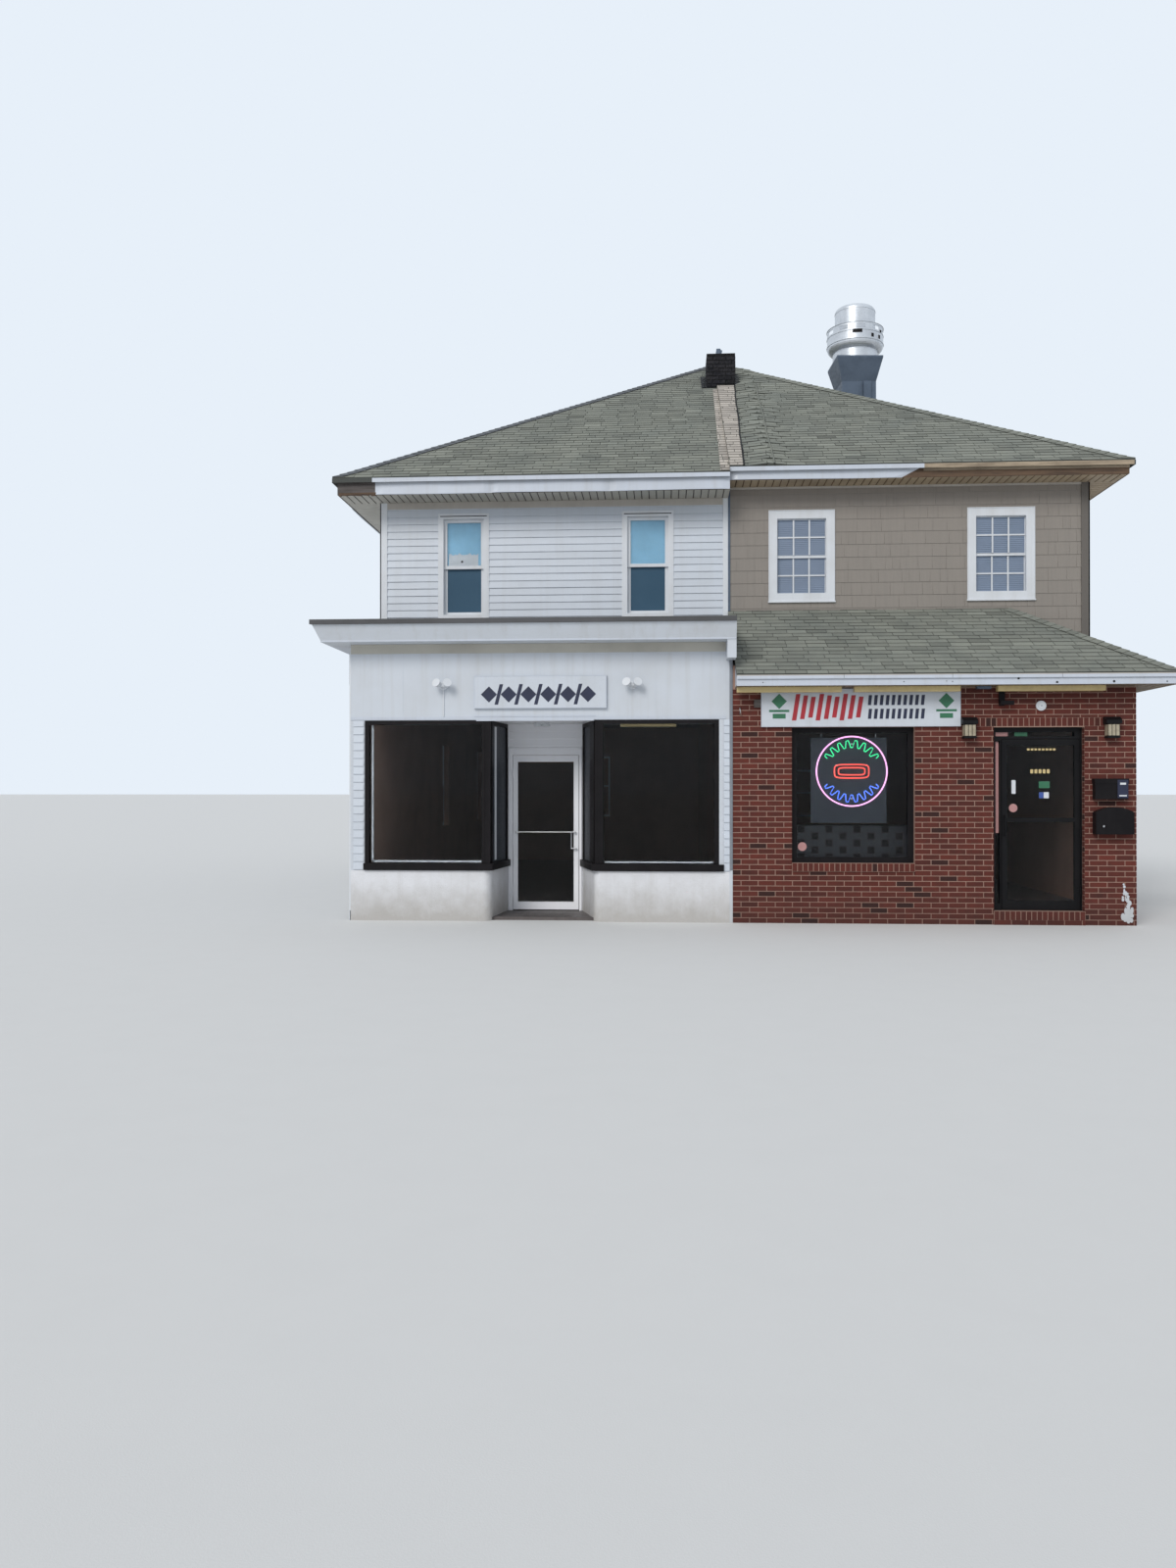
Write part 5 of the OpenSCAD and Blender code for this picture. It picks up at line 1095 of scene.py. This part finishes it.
def dress_eaves():
    """White metal over the fascias, bare boards at their ends, and ribbed soffits."""
    left_low, left_high = low("fascia_left"), high("fascia_left")
    right_low, right_high = low("fascia_right"), high("fascia_right")
    top_l, top_r = left_high[2] - 0.31, right_high[2]    # the left boards at the party line rise 310 mm more
    eave_l = facing(left_low[1])
    eave_r = facing(right_low[1])
    side_l = Frame((left_low[0], 0, 0), (0, -1, 0))
    rear_l = Frame((0, left_high[1], 0), (-1, 0, 0))
    parts = wraps_along(eave_l, -4.87, 0.0, SOFFIT_L - 0.002, top_l, 0.4)
    parts += wraps_along(side_l, -left_high[1], -left_low[1] - 0.75, SOFFIT_L - 0.002, top_l, 1.1, length=3.0)
    parts += wraps_along(rear_l, 0.0, -left_low[0], SOFFIT_L - 0.002, top_l, 2.2, length=3.0)
    parts += wraps_along(eave_r, 0.0, 2.308, SOFFIT_R - 0.002, top_r, 0.9, slant=0.287, length=2.5)
    make_piece("fascia_wraps", parts, WHITE_METAL)
    drip = []
    for name, u0, u1 in (("roof_left", -4.9, -0.001), ("roof_right", 0.001, 2.60)):
        wall = facing(low(name)[1])
        drip.append((wall, [(u0, u1, eave_low(name), EAVE_TOP[name] - 0.004, -0.002, 0.0025)]))
    trim_walls("eave_drip", drip, WHITE_METAL)
    wall = facing(low("roof_right")[1])
    trim("eave_drip_tan", wall, [(2.60, high("roof_right")[0] - 0.02, eave_low("roof_right"),
                                  EAVE_TOP["roof_right"] - 0.004, -0.002, 0.0025)], PALE_WOOD)
    trim("tan_board_strip", eave_r, [(2.60, right_high[0], top_r - 0.062, top_r - 0.001, 0.0, 0.007)], PALE_WOOD,
         bevel=0.002)
    rng = np.random.default_rng(17)
    u = np.arange(left_low[0] + 0.02, -4.88, 0.035)
    drop = rng.uniform(0.001, 0.016, len(u))
    chips = [(a, a + 0.034, SOFFIT_L - d, SOFFIT_L + 0.03, -0.022, 0.001) for a, d in zip(u, drop)]
    trim("broken_board", eave_l, chips, OLD_WOOD)
    for name, material in (("soffit_left", CREAM_SOFFIT), ("soffit_right", BROWN_SOFFIT), ("pent_soffit", SHADED_PENT_SOFFIT)):
        make_piece(name + "_ribs", [ribs(a, b, low(name)[2], along_x=b[1] - a[1] > 3 * (b[0] - a[0]))
                                    for a, b in solids(name)], material)


def dress_corners():
    """Corner boards, party trim and the boards under the eaves."""
    top_l, top_r = SOFFIT_L, SOFFIT_R
    roof_z, pent_z = high("flat_roof")[2], high("pent_roof")[2]
    board_l, board_r = 0.085, 0.092
    white = [(FRONT, [(-UNIT - 0.02, -UNIT + board_l, roof_z, top_l, 0.0, 0.02),
                      (-0.072, 0.0, roof_z, top_l, 0.0, 0.02)]),
             (LEFT, [(-HOUSE_Y - board_l, -HOUSE_Y + 0.02, 0.0, top_l, 0.0, 0.02),
                     (-REAR_Y - 0.02, -REAR_Y + board_l, 0.0, top_l, 0.0, 0.02),
                     (-0.075, 0.0, 0.0, low("cornice")[2] + 0.2, 0.0, 0.02)]),
             (REAR, [(UNIT - board_l, UNIT + 0.02, 0.0, top_l, 0.0, 0.02), (0.0, 0.07, 0.0, top_l, 0.0, 0.02)])]
    trim_walls("white_corners", white, WHITE_VINYL, "white_siding", bevel=0.003)
    tan = [(FRONT, [(UNIT - board_r, UNIT + 0.022, pent_z - 1.2, top_r, 0.0, 0.022)]),
           (RIGHT, [(HOUSE_Y - 0.022, HOUSE_Y + board_r, low("pent_soffit")[2] - 0.4, top_r, 0.0, 0.022),
                    (REAR_Y - board_r, REAR_Y + 0.022, 0.0, top_r, 0.0, 0.022)]),
           (REAR, [(-UNIT - 0.022, -UNIT + board_r, 0.0, top_r, 0.0, 0.022)])]
    trim_walls("tan_corners", tan, SHAKE, bevel=0.003)
    trim("frieze_board", FRONT, [(-UNIT + board_l, -0.072, top_l - 0.098, top_l - 0.001, 0.0, 0.019)], FRIEZE,
         bevel=0.002)
    base = [(LEFT, [(-REAR_Y, 0.0, 0.0, 0.125, 0.0, 0.010)]), (RIGHT, [(HOUSE_Y, REAR_Y, 0.0, 0.125, 0.0, 0.008)]),
            (REAR, [(-UNIT, 0.0, 0.0, 0.125, 0.0, 0.008), (0.0, UNIT, 0.0, 0.125, 0.0, 0.010)])]
    trim_walls("foundation_band", base, PARTY_GREY, "plaster")
    trim("party_strip", FRONT, [(0.0, 0.03, pent_z, top_r, 0.0, 0.024)], SHADED_GALVANISED, bevel=0.002)
    trim("frieze_right", FRONT, [(0.03, UNIT - board_r, top_r - 0.032, top_r - 0.001, 0.0, 0.02)], FRIEZE,
         "tan_shakes", bevel=0.002)


def dress_shop_front():
    """Trims of the white front's cornice, windows, recess and door."""
    front = [(-5.195, 0.0, 3.529, 3.552, 0.30, 0.309), (-4.9, -0.115, 2.562, 2.60, 0.0, 0.008),
             (-3.30, -1.76, 2.600, 2.618, 0.0, 0.014), (-3.278, -1.778, 2.545, 2.562, 0.0, 0.012)]
    seams = [(x, x + 0.0025, 2.62, 3.42, 0.0, 0.0015) for x in (-4.22, -2.46, -1.0)]
    end = Frame((-5.2, 0, 0), (0, -1, 0))
    trim_walls("cornice_trim", [(SHOP, front + seams), (end, [(-HOUSE_Y, 0.3, 3.529, 3.552, 0.0, 0.009)])], WHITE_METAL,
               bevel=0.002)
    trim("cornice_frieze", SHOP, [(-4.9, -0.115, 3.41, 3.529, 0.0, 0.006)], CREAM_SOFFIT, bevel=0.002)
    trim("party_board", SHOP, [(-0.07, -0.031, 0.66, 3.298, -0.06, 0.012)], PARTY_GREY, bevel=0.002)
    trim("riser_end", SHOP, [(-0.07, -0.031, 0.0, 0.66, -0.06, 0.004)], SHADED_WHITE_PAINT, bevel=0.002)
    sill, top = 0.74, 2.50    # the lower and upper edge of the display glass
    inner = [(-4.645, -4.618, sill + 0.002, top, -0.078, -0.058), (-4.645, -3.22, sill + 0.002, 0.766, -0.078, -0.058),
             (-1.645, -0.27, sill + 0.002, 0.762, -0.078, -0.058), (-3.15, -3.13, sill + 0.002, top, -0.14, -0.12)]
    trim("display_beads", SHOP, inner, WHITE_VINYL, bevel=0.002)
    film = []
    for start, end in (((-3.105, 0.152), (-3.026, 0.920)), ((-1.957, 0.924), (-1.834, 0.387))):
        way = np.array([end[0] - start[0], end[1] - start[1], 0.0])
        film.append((Frame((start[0], start[1], 0), way), [(0.0, np.linalg.norm(way), sill, top, 0.001, 0.003)]))
    trim_walls("return_film", film, DARK_FILM)
    trim("return_strip", film[0][0], [(0.15, 0.25, 0.76, 2.49, 0.003, 0.006)], WHITE_VINYL, bevel=0.001)
    mid = [(-3.205, -3.165, sill, top, 0.0, 0.006), (-1.72, -1.66, sill, top, 0.0, 0.006),
           (-4.70, -4.665, sill, top, 0.0, 0.004), (-0.255, -0.215, sill, top, 0.0, 0.004)]
    trim("display_covers", SHOP, mid, BLACK_METAL, bevel=0.002)
    (x0, door_y, _), (x1, _, head) = low("left_door_frame"), high("left_door_frame")
    rows = [(x0 + 0.01, x0 + 0.024, 0.05, head, 0.0, 0.008), (x1 - 0.024, x1 - 0.01, 0.05, head, 0.0, 0.008),
            (x0 + 0.01, x1 - 0.01, head - 0.024, head - 0.01, 0.0, 0.008),
            (x0, x1, head, head + 0.03, -0.016, 0.006)]
    trim("door_casing", facing(door_y), rows, LIT_DOOR_WHITE, bevel=0.002)
    beads = ring(-2.866, -2.108, 0.159, 2.048, 0.009, -0.001, 0.003)
    trim("leaf_beads", facing(0.978), beads, LIT_DOOR_WHITE, body="left_door_leaf")
    lamp = Frame((-2.5, 0.6, low("recess_ceiling")[2]), (1, 0, 0), (0, -1, 0))
    bulbs = [disc(lamp, (x, 0), 0.055, 0.02, 0.05, squeeze=0.8) for x in (-0.055, 0.055)]
    make_piece("recess_lamp", [disc(lamp, (0, 0), 0.10, 0.0, 0.02)] + bulbs, WHITE_VINYL, bevel=0.006)
    trim("flood_conduit", SHOP, [(-3.708, -3.692, 2.60, 2.945, 0.0, 0.014)], WHITE_VINYL, bevel=0.003)
    trim("black_strap", LEFT, [(-0.06, -0.02, 3.018, 3.431, 0.02, 0.026)], BLACK_METAL)


def tilted(wall, centre, size, turn, lean, w0, w1):
    """A closed plate turned by an angle, its sides leaning by lean."""
    half = np.array([[-1, -1], [1, -1], [1, 1], [-1, 1]]) * np.array(size) / 2
    half[:, 0] += lean * half[:, 1]
    cos, sin = math.cos(turn), math.sin(turn)
    flat = half @ np.array([[cos, sin], [-sin, cos]]) + np.array(centre)
    points = np.concatenate([np.column_stack([flat, np.full(4, w)]) for w in (w0, w1)])
    return wall.out(points), BLOCK_QUADS


def dress_signs():
    """A rim and plain shapes on each of the two sign panels."""
    w0, w1 = 0.0402, 0.0418
    rims = []
    for box_low, box_high in sorted(solids("sign_panels"), key=lambda box: box[0][0]):
        rims += ring(box_low[0] + 0.008, box_high[0] - 0.008, box_low[2] + 0.008, box_high[2] - 0.008, 0.0075,
                     0.039, 0.0435)
    trim("sign_rims", SHOP, rims, WHITE_METAL, "sign_face")
    diamond, stroke = ((0.145, 0.145), math.pi / 4, 0.0), ((0.045, 0.26), 0.0, 0.25)
    dark = [tilted(SHOP, (u, 2.88), *(stroke if k % 2 else diamond), w0, w1)
            for k, u in enumerate(np.linspace(-3.11, -1.85, 11))]
    make_piece("left_sign_shapes", dark, NAVY_PAINT)
    red = [tilted(SHOP, (0.755 + 0.098 * k, 2.70), (0.055, 0.33 - 0.035 * (k % 3)), 0.0, 0.16, w0, w1)
           for k in range(9)]
    make_piece("red_sign_shapes", red, RED_PAINT)
    green = [tilted(SHOP, (u, v), size, turn, 0, w0, w1) for u in (0.545, 2.60)
             for v, size, turn in ((2.775, (0.135, 0.135), math.pi / 4), (2.655, (0.25, 0.028), 0),
                                   (2.59, (0.16, 0.06), 0))]
    make_piece("green_sign_shapes", green, GREEN_PAINT)
    navy = [tilted(SHOP, (1.665 + 0.072 * k, v), (0.040, 0.125), 0.0, 0.1, w0, w1)
            for k in range(10) for v in (2.785, 2.615)]
    make_piece("navy_sign_shapes", navy, NAVY_PAINT)


def dress_neon():
    """The round neon in the brick window, on a dark back with wires and clips."""
    centre, y = (1.476, 1.904), 0.20
    wall = facing(y)

    def around(radius, degrees):
        """Points round the neon's centre: a radius, or one for each, at angles from the right, in degrees."""
        angle = np.radians(degrees)
        return wall.out(np.stack([centre[0] + radius * np.cos(angle), centre[1] + radius * np.sin(angle),
                                  0 * angle], -1))

    # Ring: small circles of 9 mm, each square to a large one
    circle = around(0.44, np.linspace(0, 360, 97)[:-1])
    angle = np.linspace(0, 2 * math.pi, 8, endpoint=False)
    out_of = (circle - np.array([centre[0], y, centre[1]])) / 0.44
    points = circle[:, None] + 0.009 * (np.cos(angle)[None, :, None] * out_of[:, None]
                                        + np.sin(angle)[None, :, None] * np.array([0, -1.0, 0])[None, None])
    i, j = (index.ravel() for index in np.meshgrid(np.arange(96), np.arange(8), indexing="ij"))
    i_next, j_next = (i + 1) % 96, (j + 1) % 8
    quads = np.stack([i * 8 + j, i * 8 + j_next, i_next * 8 + j_next, i_next * 8 + j], 1)
    make_piece("neon_ring", [(points, quads)], PINK_GLOW, smooth=True)
    # Waves: along an arc the radius swings 45 mm either way, as a sine with its crests cut flat
    radii = 0.345 + 0.045 * np.clip(2.2 * np.sin(np.linspace(0, 15 * math.pi, 61)), -1, 1)
    for name, material, start, end in (("neon_green", GREEN_GLOW, 28, 152), ("neon_blue", BLUE_GLOW, 208, 332)):
        make_piece(name, [tube(around(radii, np.linspace(start, end, 61)), 0.0065, 8)], material, smooth=True)
    # Rounded rectangles: the cosine and sine of a full turn, each raised to the power 0.4
    turn = np.linspace(0, 2 * math.pi, 41)
    square_cos, square_sin = (np.sign(f) * np.abs(f) ** 0.4 for f in (np.cos(turn), np.sin(turn)))
    parts = [tube(wall.out(np.stack([centre[0] + half_u * square_cos, centre[1] + half_v * square_sin, 0 * turn], -1)),
                  0.0075, 8) for half_u, half_v in ((0.215, 0.085), (0.165, 0.045))]
    make_piece("neon_red", parts, RED_GLOW, smooth=True)
    trim("neon_back", wall, [(0.965, 1.915, 1.25, 2.33, -0.024, -0.020)], DARK_FILM)
    wires = [(u - 0.003, u + 0.003, 2.33, high("brick_window_frame")[2] - 0.03, -0.024, -0.020) for u in (1.1, 1.78)]
    clips = [(centre[0] + dx - 0.01, centre[0] + dx + 0.01, centre[1] + dz - 0.01, centre[1] + dz + 0.01, -0.02, 0.0)
             for dx, dz in ((0.44, 0), (-0.44, 0), (0, 0.44), (0, -0.44), (0, 0.345), (0, -0.345), (-0.19, 0.075),
                            (0.19, 0.075))]
    trim("neon_clips", wall, wires + clips, STEEL)


def dress_counter():
    """The tiled counter behind the neon, every fourth tile or so dark."""
    counter = facing(0.60)
    trim("counter_body", counter, [(0.75, 2.30, 0.165, 1.205, -0.5, -0.004)], BROWN_BOARD)
    tiles, black = [], []
    for i in range(17):
        for j in range(5):
            u, v = 0.755 + 0.09 * i, 0.757 + 0.09 * j
            row = (u, u + 0.084, v, v + 0.084, -0.004, 0.0)
            (black if (i % 2 == 1 and j % 2 == (i // 2) % 2) else tiles).append(row)
    trim("counter_tiles", counter, tiles, SLATE)
    trim("counter_tiles_dark", counter, black, BLACK_METAL)


def dress_pent_edge():
    """Drips on the pent roof's edge, and holes, seams and a lip on its fascia."""
    eave_y, top = low("pent_roof")[1], EAVE_TOP["pent_roof"]
    end = Frame((high("pent_roof")[0], 0, 0), (0, 1, 0))
    spans = ((0.0, 1.3), (1.3, 2.6), (2.6, 3.9), (3.9, 5.316))
    for name, a, b, material, slot in (("pent_drip", top - 0.048, top - 0.010, WHITE_METAL, None),
                                       ("pent_drip_edge", top - 0.010, top + 0.002, FRIEZE, "cream_vinyl")):
        rows = [(p, q - 0.004, a, b, -0.002, 0.0025) for p, q in spans]
        trim_walls(name, [(facing(eave_y), rows), (end, [(eave_y, 1.65, a, b, -0.002, 0.0025)])], material, slot)
    fascia = facing(low("pent_fascia")[1])
    dots = [disc(fascia, (x, z), r, 0.0, 0.004, 12) for x, z, r in
            ((3.385, 3.018, 0.014), (3.84, 2.968, 0.014), (4.51, 2.975, 0.014), (5.13, 2.972, 0.008),
             (0.32, 2.985, 0.006), (2.02, 2.985, 0.006), (2.53, 2.99, 0.005), (2.60, 2.985, 0.006))]
    make_piece("fascia_dots", dots, BLACK_METAL)
    seams = [(x, x + 0.003, 2.947, 3.04, 0.0, 0.0015) for x in (1.62, 3.21, 4.86)]
    trim("fascia_lip", fascia, seams + [(0.0, 5.30, 2.9455, 2.957, 0.0, 0.006)], WHITE_METAL)


def dress_lanterns():
    """Cream lights between the lanterns' dark bars."""
    fronts, sides = [], []
    for box_low, box_high in solids("wall_lanterns"):
        x, z = (box_low[0] + box_high[0]) / 2, box_low[2]
        fronts += [(x + step - 0.019, x + step + 0.019, z + 0.028, z + 0.165, 0.118, 0.1225)
                   for step in (-0.046, 0, 0.046)]
        sides += [(edge, edge + 0.003, z + 0.03, z + 0.163, 0.02, 0.112) for edge in (x - 0.0725, x + 0.0695)]
    trim("lantern_lights", SHOP, fronts, CREAM_GLASS, bevel=0.001)
    trim("lantern_sides", SHOP, sides, CREAM_GLASS)


def dress_mailboxes():
    """A door with labels on the upper mailbox and a lock on the lower one."""
    upper, lower = sorted(solids("mailboxes"), key=lambda box: -box[0][2])
    x0, x1, z0, z1, y0 = upper[0][0], upper[1][0], upper[0][2], upper[1][2], -upper[0][1]
    third = x0 + 0.66 * (x1 - x0)
    trim("mailbox_door", SHOP, [(third, x1 - 0.012, z0 + 0.015, z1 - 0.015, y0, y0 + 0.003)], NAVY_PAINT,
         "black_enamel", bevel=0.001)
    labels = [(third + 0.02, x1 - 0.03, z0 + 0.036, z0 + 0.052, y0 + 0.003, y0 + 0.004),
              (third + 0.03, x1 - 0.04, z1 - 0.075, z1 - 0.05, y0 + 0.003, y0 + 0.0038)]
    trim("mailbox_labels", SHOP, labels, WHITE_VINYL)
    x, y, z = lower[0]
    make_piece("mailbox_lock", [disc(SHOP, (x + 0.085, z + 0.10), 0.012, -y - 0.01, -y + 0.004, 16)], STEEL)


def dress_small_fittings():
    """Bell, camera, plate, box and hook on the brick front."""
    bell = (3.753, 2.708)
    make_piece("door_bell", [disc(SHOP, bell, 0.062, BRICK_FACE, 0.030), disc(SHOP, bell, 0.040, 0.03, 0.042)],
               WHITE_VINYL, bevel=0.003)
    make_piece("bell_button", [disc(SHOP, bell, 0.013, 0.042, 0.047, 16)], STEEL)
    camera = [(3.243, 3.314, 2.709, 2.891, BRICK_FACE, 0.035), (3.262, 3.295, 2.73, 2.77, 0.03, 0.10),
              (3.24, 3.40, 2.715, 2.765, 0.075, 0.125)]
    trim("camera_bracket", SHOP, camera, BLACK_METAL, bevel=0.003)
    trim("junction_plate", SHOP, [(0.235, 0.325, 2.70, 2.80, BRICK_FACE, 0.03)], GREY_WOOD_AND_GROOVE_SHADE, "galvanised_steel",
         bevel=0.003)
    trim("soffit_box", SHOP, [(2.93, 3.10, 2.905, 2.944, 0.13, 0.22)], SHADED_GALVANISED, bevel=0.003)
    hook = [(0.06, -0.008, 2.70), (0.06, -0.05, 2.69), (0.06, -0.06, 2.655), (0.06, -0.045, 2.625), (0.06, -0.02, 2.62)]
    make_piece("wall_hook", [tube(hook, 0.008)], STEEL, smooth=True)


def dress_paint_splash():
    """White paint on the right pier's bricks: round blots of random size, denser near the ground."""
    rng = np.random.default_rng(19)
    blots = []
    for k in range(46):
        v = 0.06 + 0.46 * rng.beta(1.2, 1.8)
        u = 4.776 + rng.normal(0, 0.018 + 0.03 * (0.52 - v)) + 0.03 * math.sin(9 * v)
        r = rng.uniform(0.008, 0.026) * (1.15 - v)
        blots.append(disc(SHOP, (u, v), r, 0.0, BRICK_FACE + 0.0012 + 0.00012 * k, 10, squeeze=rng.uniform(1.0, 2.4)))
    make_piece("paint_splash", blots, SHADED_WHITE_PAINT)


def dress_dark_door():
    """Plain patches on the dark door's glass and the strips beside it."""
    leaf = facing(low("right_door_glass")[1])
    for name, row, material in (("leaf_label", (3.43, 3.48, 1.62, 1.79), WHITE_VINYL),
                                ("leaf_patch_green", (3.762, 3.895, 1.69, 1.775), GREEN_PAINT),
                                ("leaf_patch_blue", (3.765, 3.82, 1.565, 1.64), BLUE_PLATE),
                                ("leaf_patch_pale", (3.822, 3.885, 1.565, 1.64), WHITE_VINYL)):
        trim(name, leaf, [(*row, 0.0, 0.0012)], material, body="right_door_leaf")
    make_piece("leaf_round", [disc(leaf, (3.45, 1.443), 0.052, 0.0, 0.0012, 28)], PINK_PLATE, body="right_door_leaf")
    gold = [(3.62 + 0.045 * k, 3.652 + 0.045 * k, 2.16, 2.185, 0.0, 0.001) for k in range(8)]
    gold += [(3.66 + 0.05 * k, 3.695 + 0.05 * k, 1.875, 1.925, 0.0, 0.001) for k in range(5)]
    trim("leaf_gold_bars", leaf, gold, GLOW_AND_GOLD, body="right_door_leaf")
    for name, row, material in (("side_strip", (3.236, 3.276, 1.13, 2.272), PINK_PLATE),
                                ("transom_strip", (3.24, 3.39, 2.338, 2.387), PINK_PLATE),
                                ("transom_patch", (3.47, 3.63, 2.338, 2.387), GREEN_PAINT)):
        trim(name, facing(0.127), [(*row, 0.0, 0.002)], material)
    make_piece("window_round", [disc(facing(0.10), (0.845, 0.955), 0.055, 0.0, 0.0012, 28)], PINK_PLATE)


def dress_chimney():
    """Tarred bricks on the chimney and a bent flap at its top."""
    rng = np.random.default_rng(20)
    # The chimney's shaft, from under the roof up
    x0, x1, y0, y1, z0, z1 = -0.17, 0.31, 5.17, 5.67, 8.35, high("chimney")[2]
    parts = []
    for origin, along, u0, u1 in (((0, y0, z0), (1, 0, 0), x0, x1), ((x0, 0, z0), (0, -1, 0), -y1, -y0),
                                  ((x1, 0, z0), (0, 1, 0), y0, y1), ((0, y1, z0), (-1, 0, 0), -x1, -x0)):
        parts.append(running_bond(Frame(origin, along), u0 + 0.002, u1 - 0.002, 0.0, z1 - z0 - 0.02, [], rng))
    make_piece("chimney_bricks", parts, TAR_AND_SHADOW, "tarred_brick")
    u = np.linspace(-0.02, 0.08, 6)
    rows = [np.stack([u + 0.02 * t, 5.22 + 0.05 * t ** 2 + 0 * u, z1 - 0.01 + 0.13 * t - 0.03 * (u > 0.04) * t], -1)
            for t in np.linspace(0, 1, 6)]
    behind = [row + np.array([0, 0.006, 0]) for row in rows]
    make_piece("chimney_flap", [sheet(rows), sheet(behind, flip=True)], SHADED_GALVANISED)


def dress_fan():
    """Seams, a cap band and slots on the fan, all turned about its axis."""
    centre = np.array([2.445, 6.0, 0.0])
    angle = np.linspace(2 * math.pi, 0, 9)
    rings = [turned(np.stack([r + t * np.cos(angle), z + 0.5 * t * np.sin(angle)], -1), centre, 64)
             for z, r, t in ((9.30, 0.392, 0.008), (9.405, 0.484, 0.006), (9.55, 0.4835, 0.004), (9.685, 0.484, 0.006),
                             (9.135, 0.39, 0.006))]
    make_piece("fan_rings", rings, ALUMINIUM, smooth=True)
    band = [(0.300, 9.95), (0.309, 9.95), (0.309, 10.05), (0.300, 10.05), (0.300, 9.95)]
    make_piece("fan_cap_band", [turned(band, centre, 64)], SHADED_GALVANISED, "spun_aluminium", smooth=True)
    slots = []
    for turn, half, z0, z1 in ((-0.07, 0.17, 9.50, 9.56), (0.50, 0.05, 9.44, 9.50), (0.85, 0.05, 9.44, 9.50),
                               (0.95, 0.05, 9.56, 9.60)):
        angle = -math.pi / 2 + np.linspace(turn - half, turn + half, 9)
        ring_xy = np.stack([np.cos(angle), np.sin(angle)], -1)
        slots.append(sheet([np.column_stack([centre[:2] + r * ring_xy, np.full(9, z)])
                            for r, z in ((0.480, z0), (0.4865, z0), (0.4865, z1), (0.480, z1))]))
    make_piece("fan_slots", slots, BLACK_METAL)


for dress in (dress_left_walls, dress_right_walls, dress_brick, dress_roofs, dress_pent_roof, dress_tan_strip,
              dress_windows, dress_eaves, dress_corners, dress_shop_front, dress_signs, dress_neon, dress_counter,
              dress_pent_edge, dress_lanterns, dress_mailboxes, dress_small_fittings, dress_paint_splash,
              dress_dark_door, dress_chimney, dress_fan):
    dress()


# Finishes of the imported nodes
CAD_FINISH = {name: material for material, names in (
    (BOARDS, "shop_floors upper_floors display_decks"),
    (PLASTER, "ceilings party_wall side_wall_left side_wall_right shop_side_wall_left rear_wall_left rear_wall_right "
     "upper_front_wall_left upper_front_wall_right"),
    (PARTY_GREY, "shop_party_wall"),
    (MORTAR, "shop_side_wall_right brick_wall brick_pier brick_over_door brick_sills"),
    (ROOF_DECK, "roof_left roof_right pent_roof"), (FELT, "flat_roof"), (TAR_AND_SHADOW, "chimney"),
    # The left soffit under its ribs takes the dark grey so that the grooves between them read dark: painted shade.
    (GREY_WOOD_AND_GROOVE_SHADE, "fascia_left soffit_left"), (OLD_WOOD, "fascia_right soffit_right"),
    (WHITE_METAL, "pent_fascia"), (SHADED_PENT_SOFFIT, "pent_soffit"),
    # The duct takes the darkened galvanised colour: painted shade.
    (SHADED_GALVANISED, "exhaust_duct"), (ALUMINIUM, "exhaust_fan"),
    (WHITE_VINYL, "window_frames_left window_frames_right floodlights"), (HOUSE_GLASS, "window_glass"),
    (SHOP_GLASS, "display_glass left_door_glass brick_window_glass right_door_glass"),
    (STUCCO, "stall_risers"), (SHADED_WHITE_PAINT, "shop_piers signboard_wall cornice"),
    (BLACK_METAL, "display_frames brick_window_frame mailboxes"),
    # The recess and the left door take the brightened white: painted light.
    (LIT_DOOR_WHITE, "recess_ceiling door_head_panel left_door_frame left_door"), (STEEL, "left_door_handle"),
    (BRONZE, "right_door_frame right_door right_door_handle wall_lanterns"),
    # The strip lights get the bright yellow: painted glow, as they give no light.
    (GLOW_AND_GOLD, "strip_lights"), (SIGN, "sign_panels"),
) for name in names.split()}


def finish_nodes():
    for name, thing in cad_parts.items():
        thing.data.materials.clear()
        thing.data.materials.append(CAD_FINISH[name])


finish_nodes()


# Floor, sky and lamps
def light_scene():
    floor_size = 400.0
    points, quads = blocks([[-floor_size, -floor_size, -0.02]], [[floor_size, floor_size, 0.0]])
    floor_finish = finish("pale_floor", (0.74, 0.74, 0.73), 0.9, (0.70, 0.70, 0.69), mottle=0.2, runs=0.0)
    mesh = bpy.data.meshes.new("floor")
    mesh.from_pydata(points.tolist(), [], quads.tolist())
    mesh.materials.append(floor_finish)
    floor = bpy.data.objects.new("floor", mesh)
    bpy.context.scene.collection.objects.link(floor)
    sun = bpy.data.lights.new("key", "SUN")
    sun.energy = 1.55
    sun.angle = math.radians(25)
    sun.color = (1.0, 0.97, 0.93)
    key = bpy.data.objects.new("key", sun)
    key.rotation_euler = (math.radians(56), 0.0, math.radians(-24))
    bpy.context.scene.collection.objects.link(key)
    world = bpy.data.worlds.new("studio")
    bpy.context.scene.world = world
    world.use_nodes = True
    tree = world.node_tree
    back = tree.nodes["Background"]
    path = node(tree, "LightPath")
    seen = math_node(tree, "MAXIMUM", path.outputs["Is Camera Ray"], path.outputs["Is Glossy Ray"])
    seen = math_node(tree, "MAXIMUM", seen, path.outputs["Is Transmission Ray"])
    colour = mix_colour(tree, seen, (0.86, 0.92, 1.0, 1.0), (0.80, 0.87, 0.95, 1.0))
    tree.links.new(colour, back.inputs["Color"])
    strength = node(tree, "MapRange", {}, {0: seen, 3: 0.62, 4: 1.0}).outputs[0]
    tree.links.new(strength, back.inputs["Strength"])
    bpy.context.scene.view_settings.view_transform = "Standard"


light_scene()
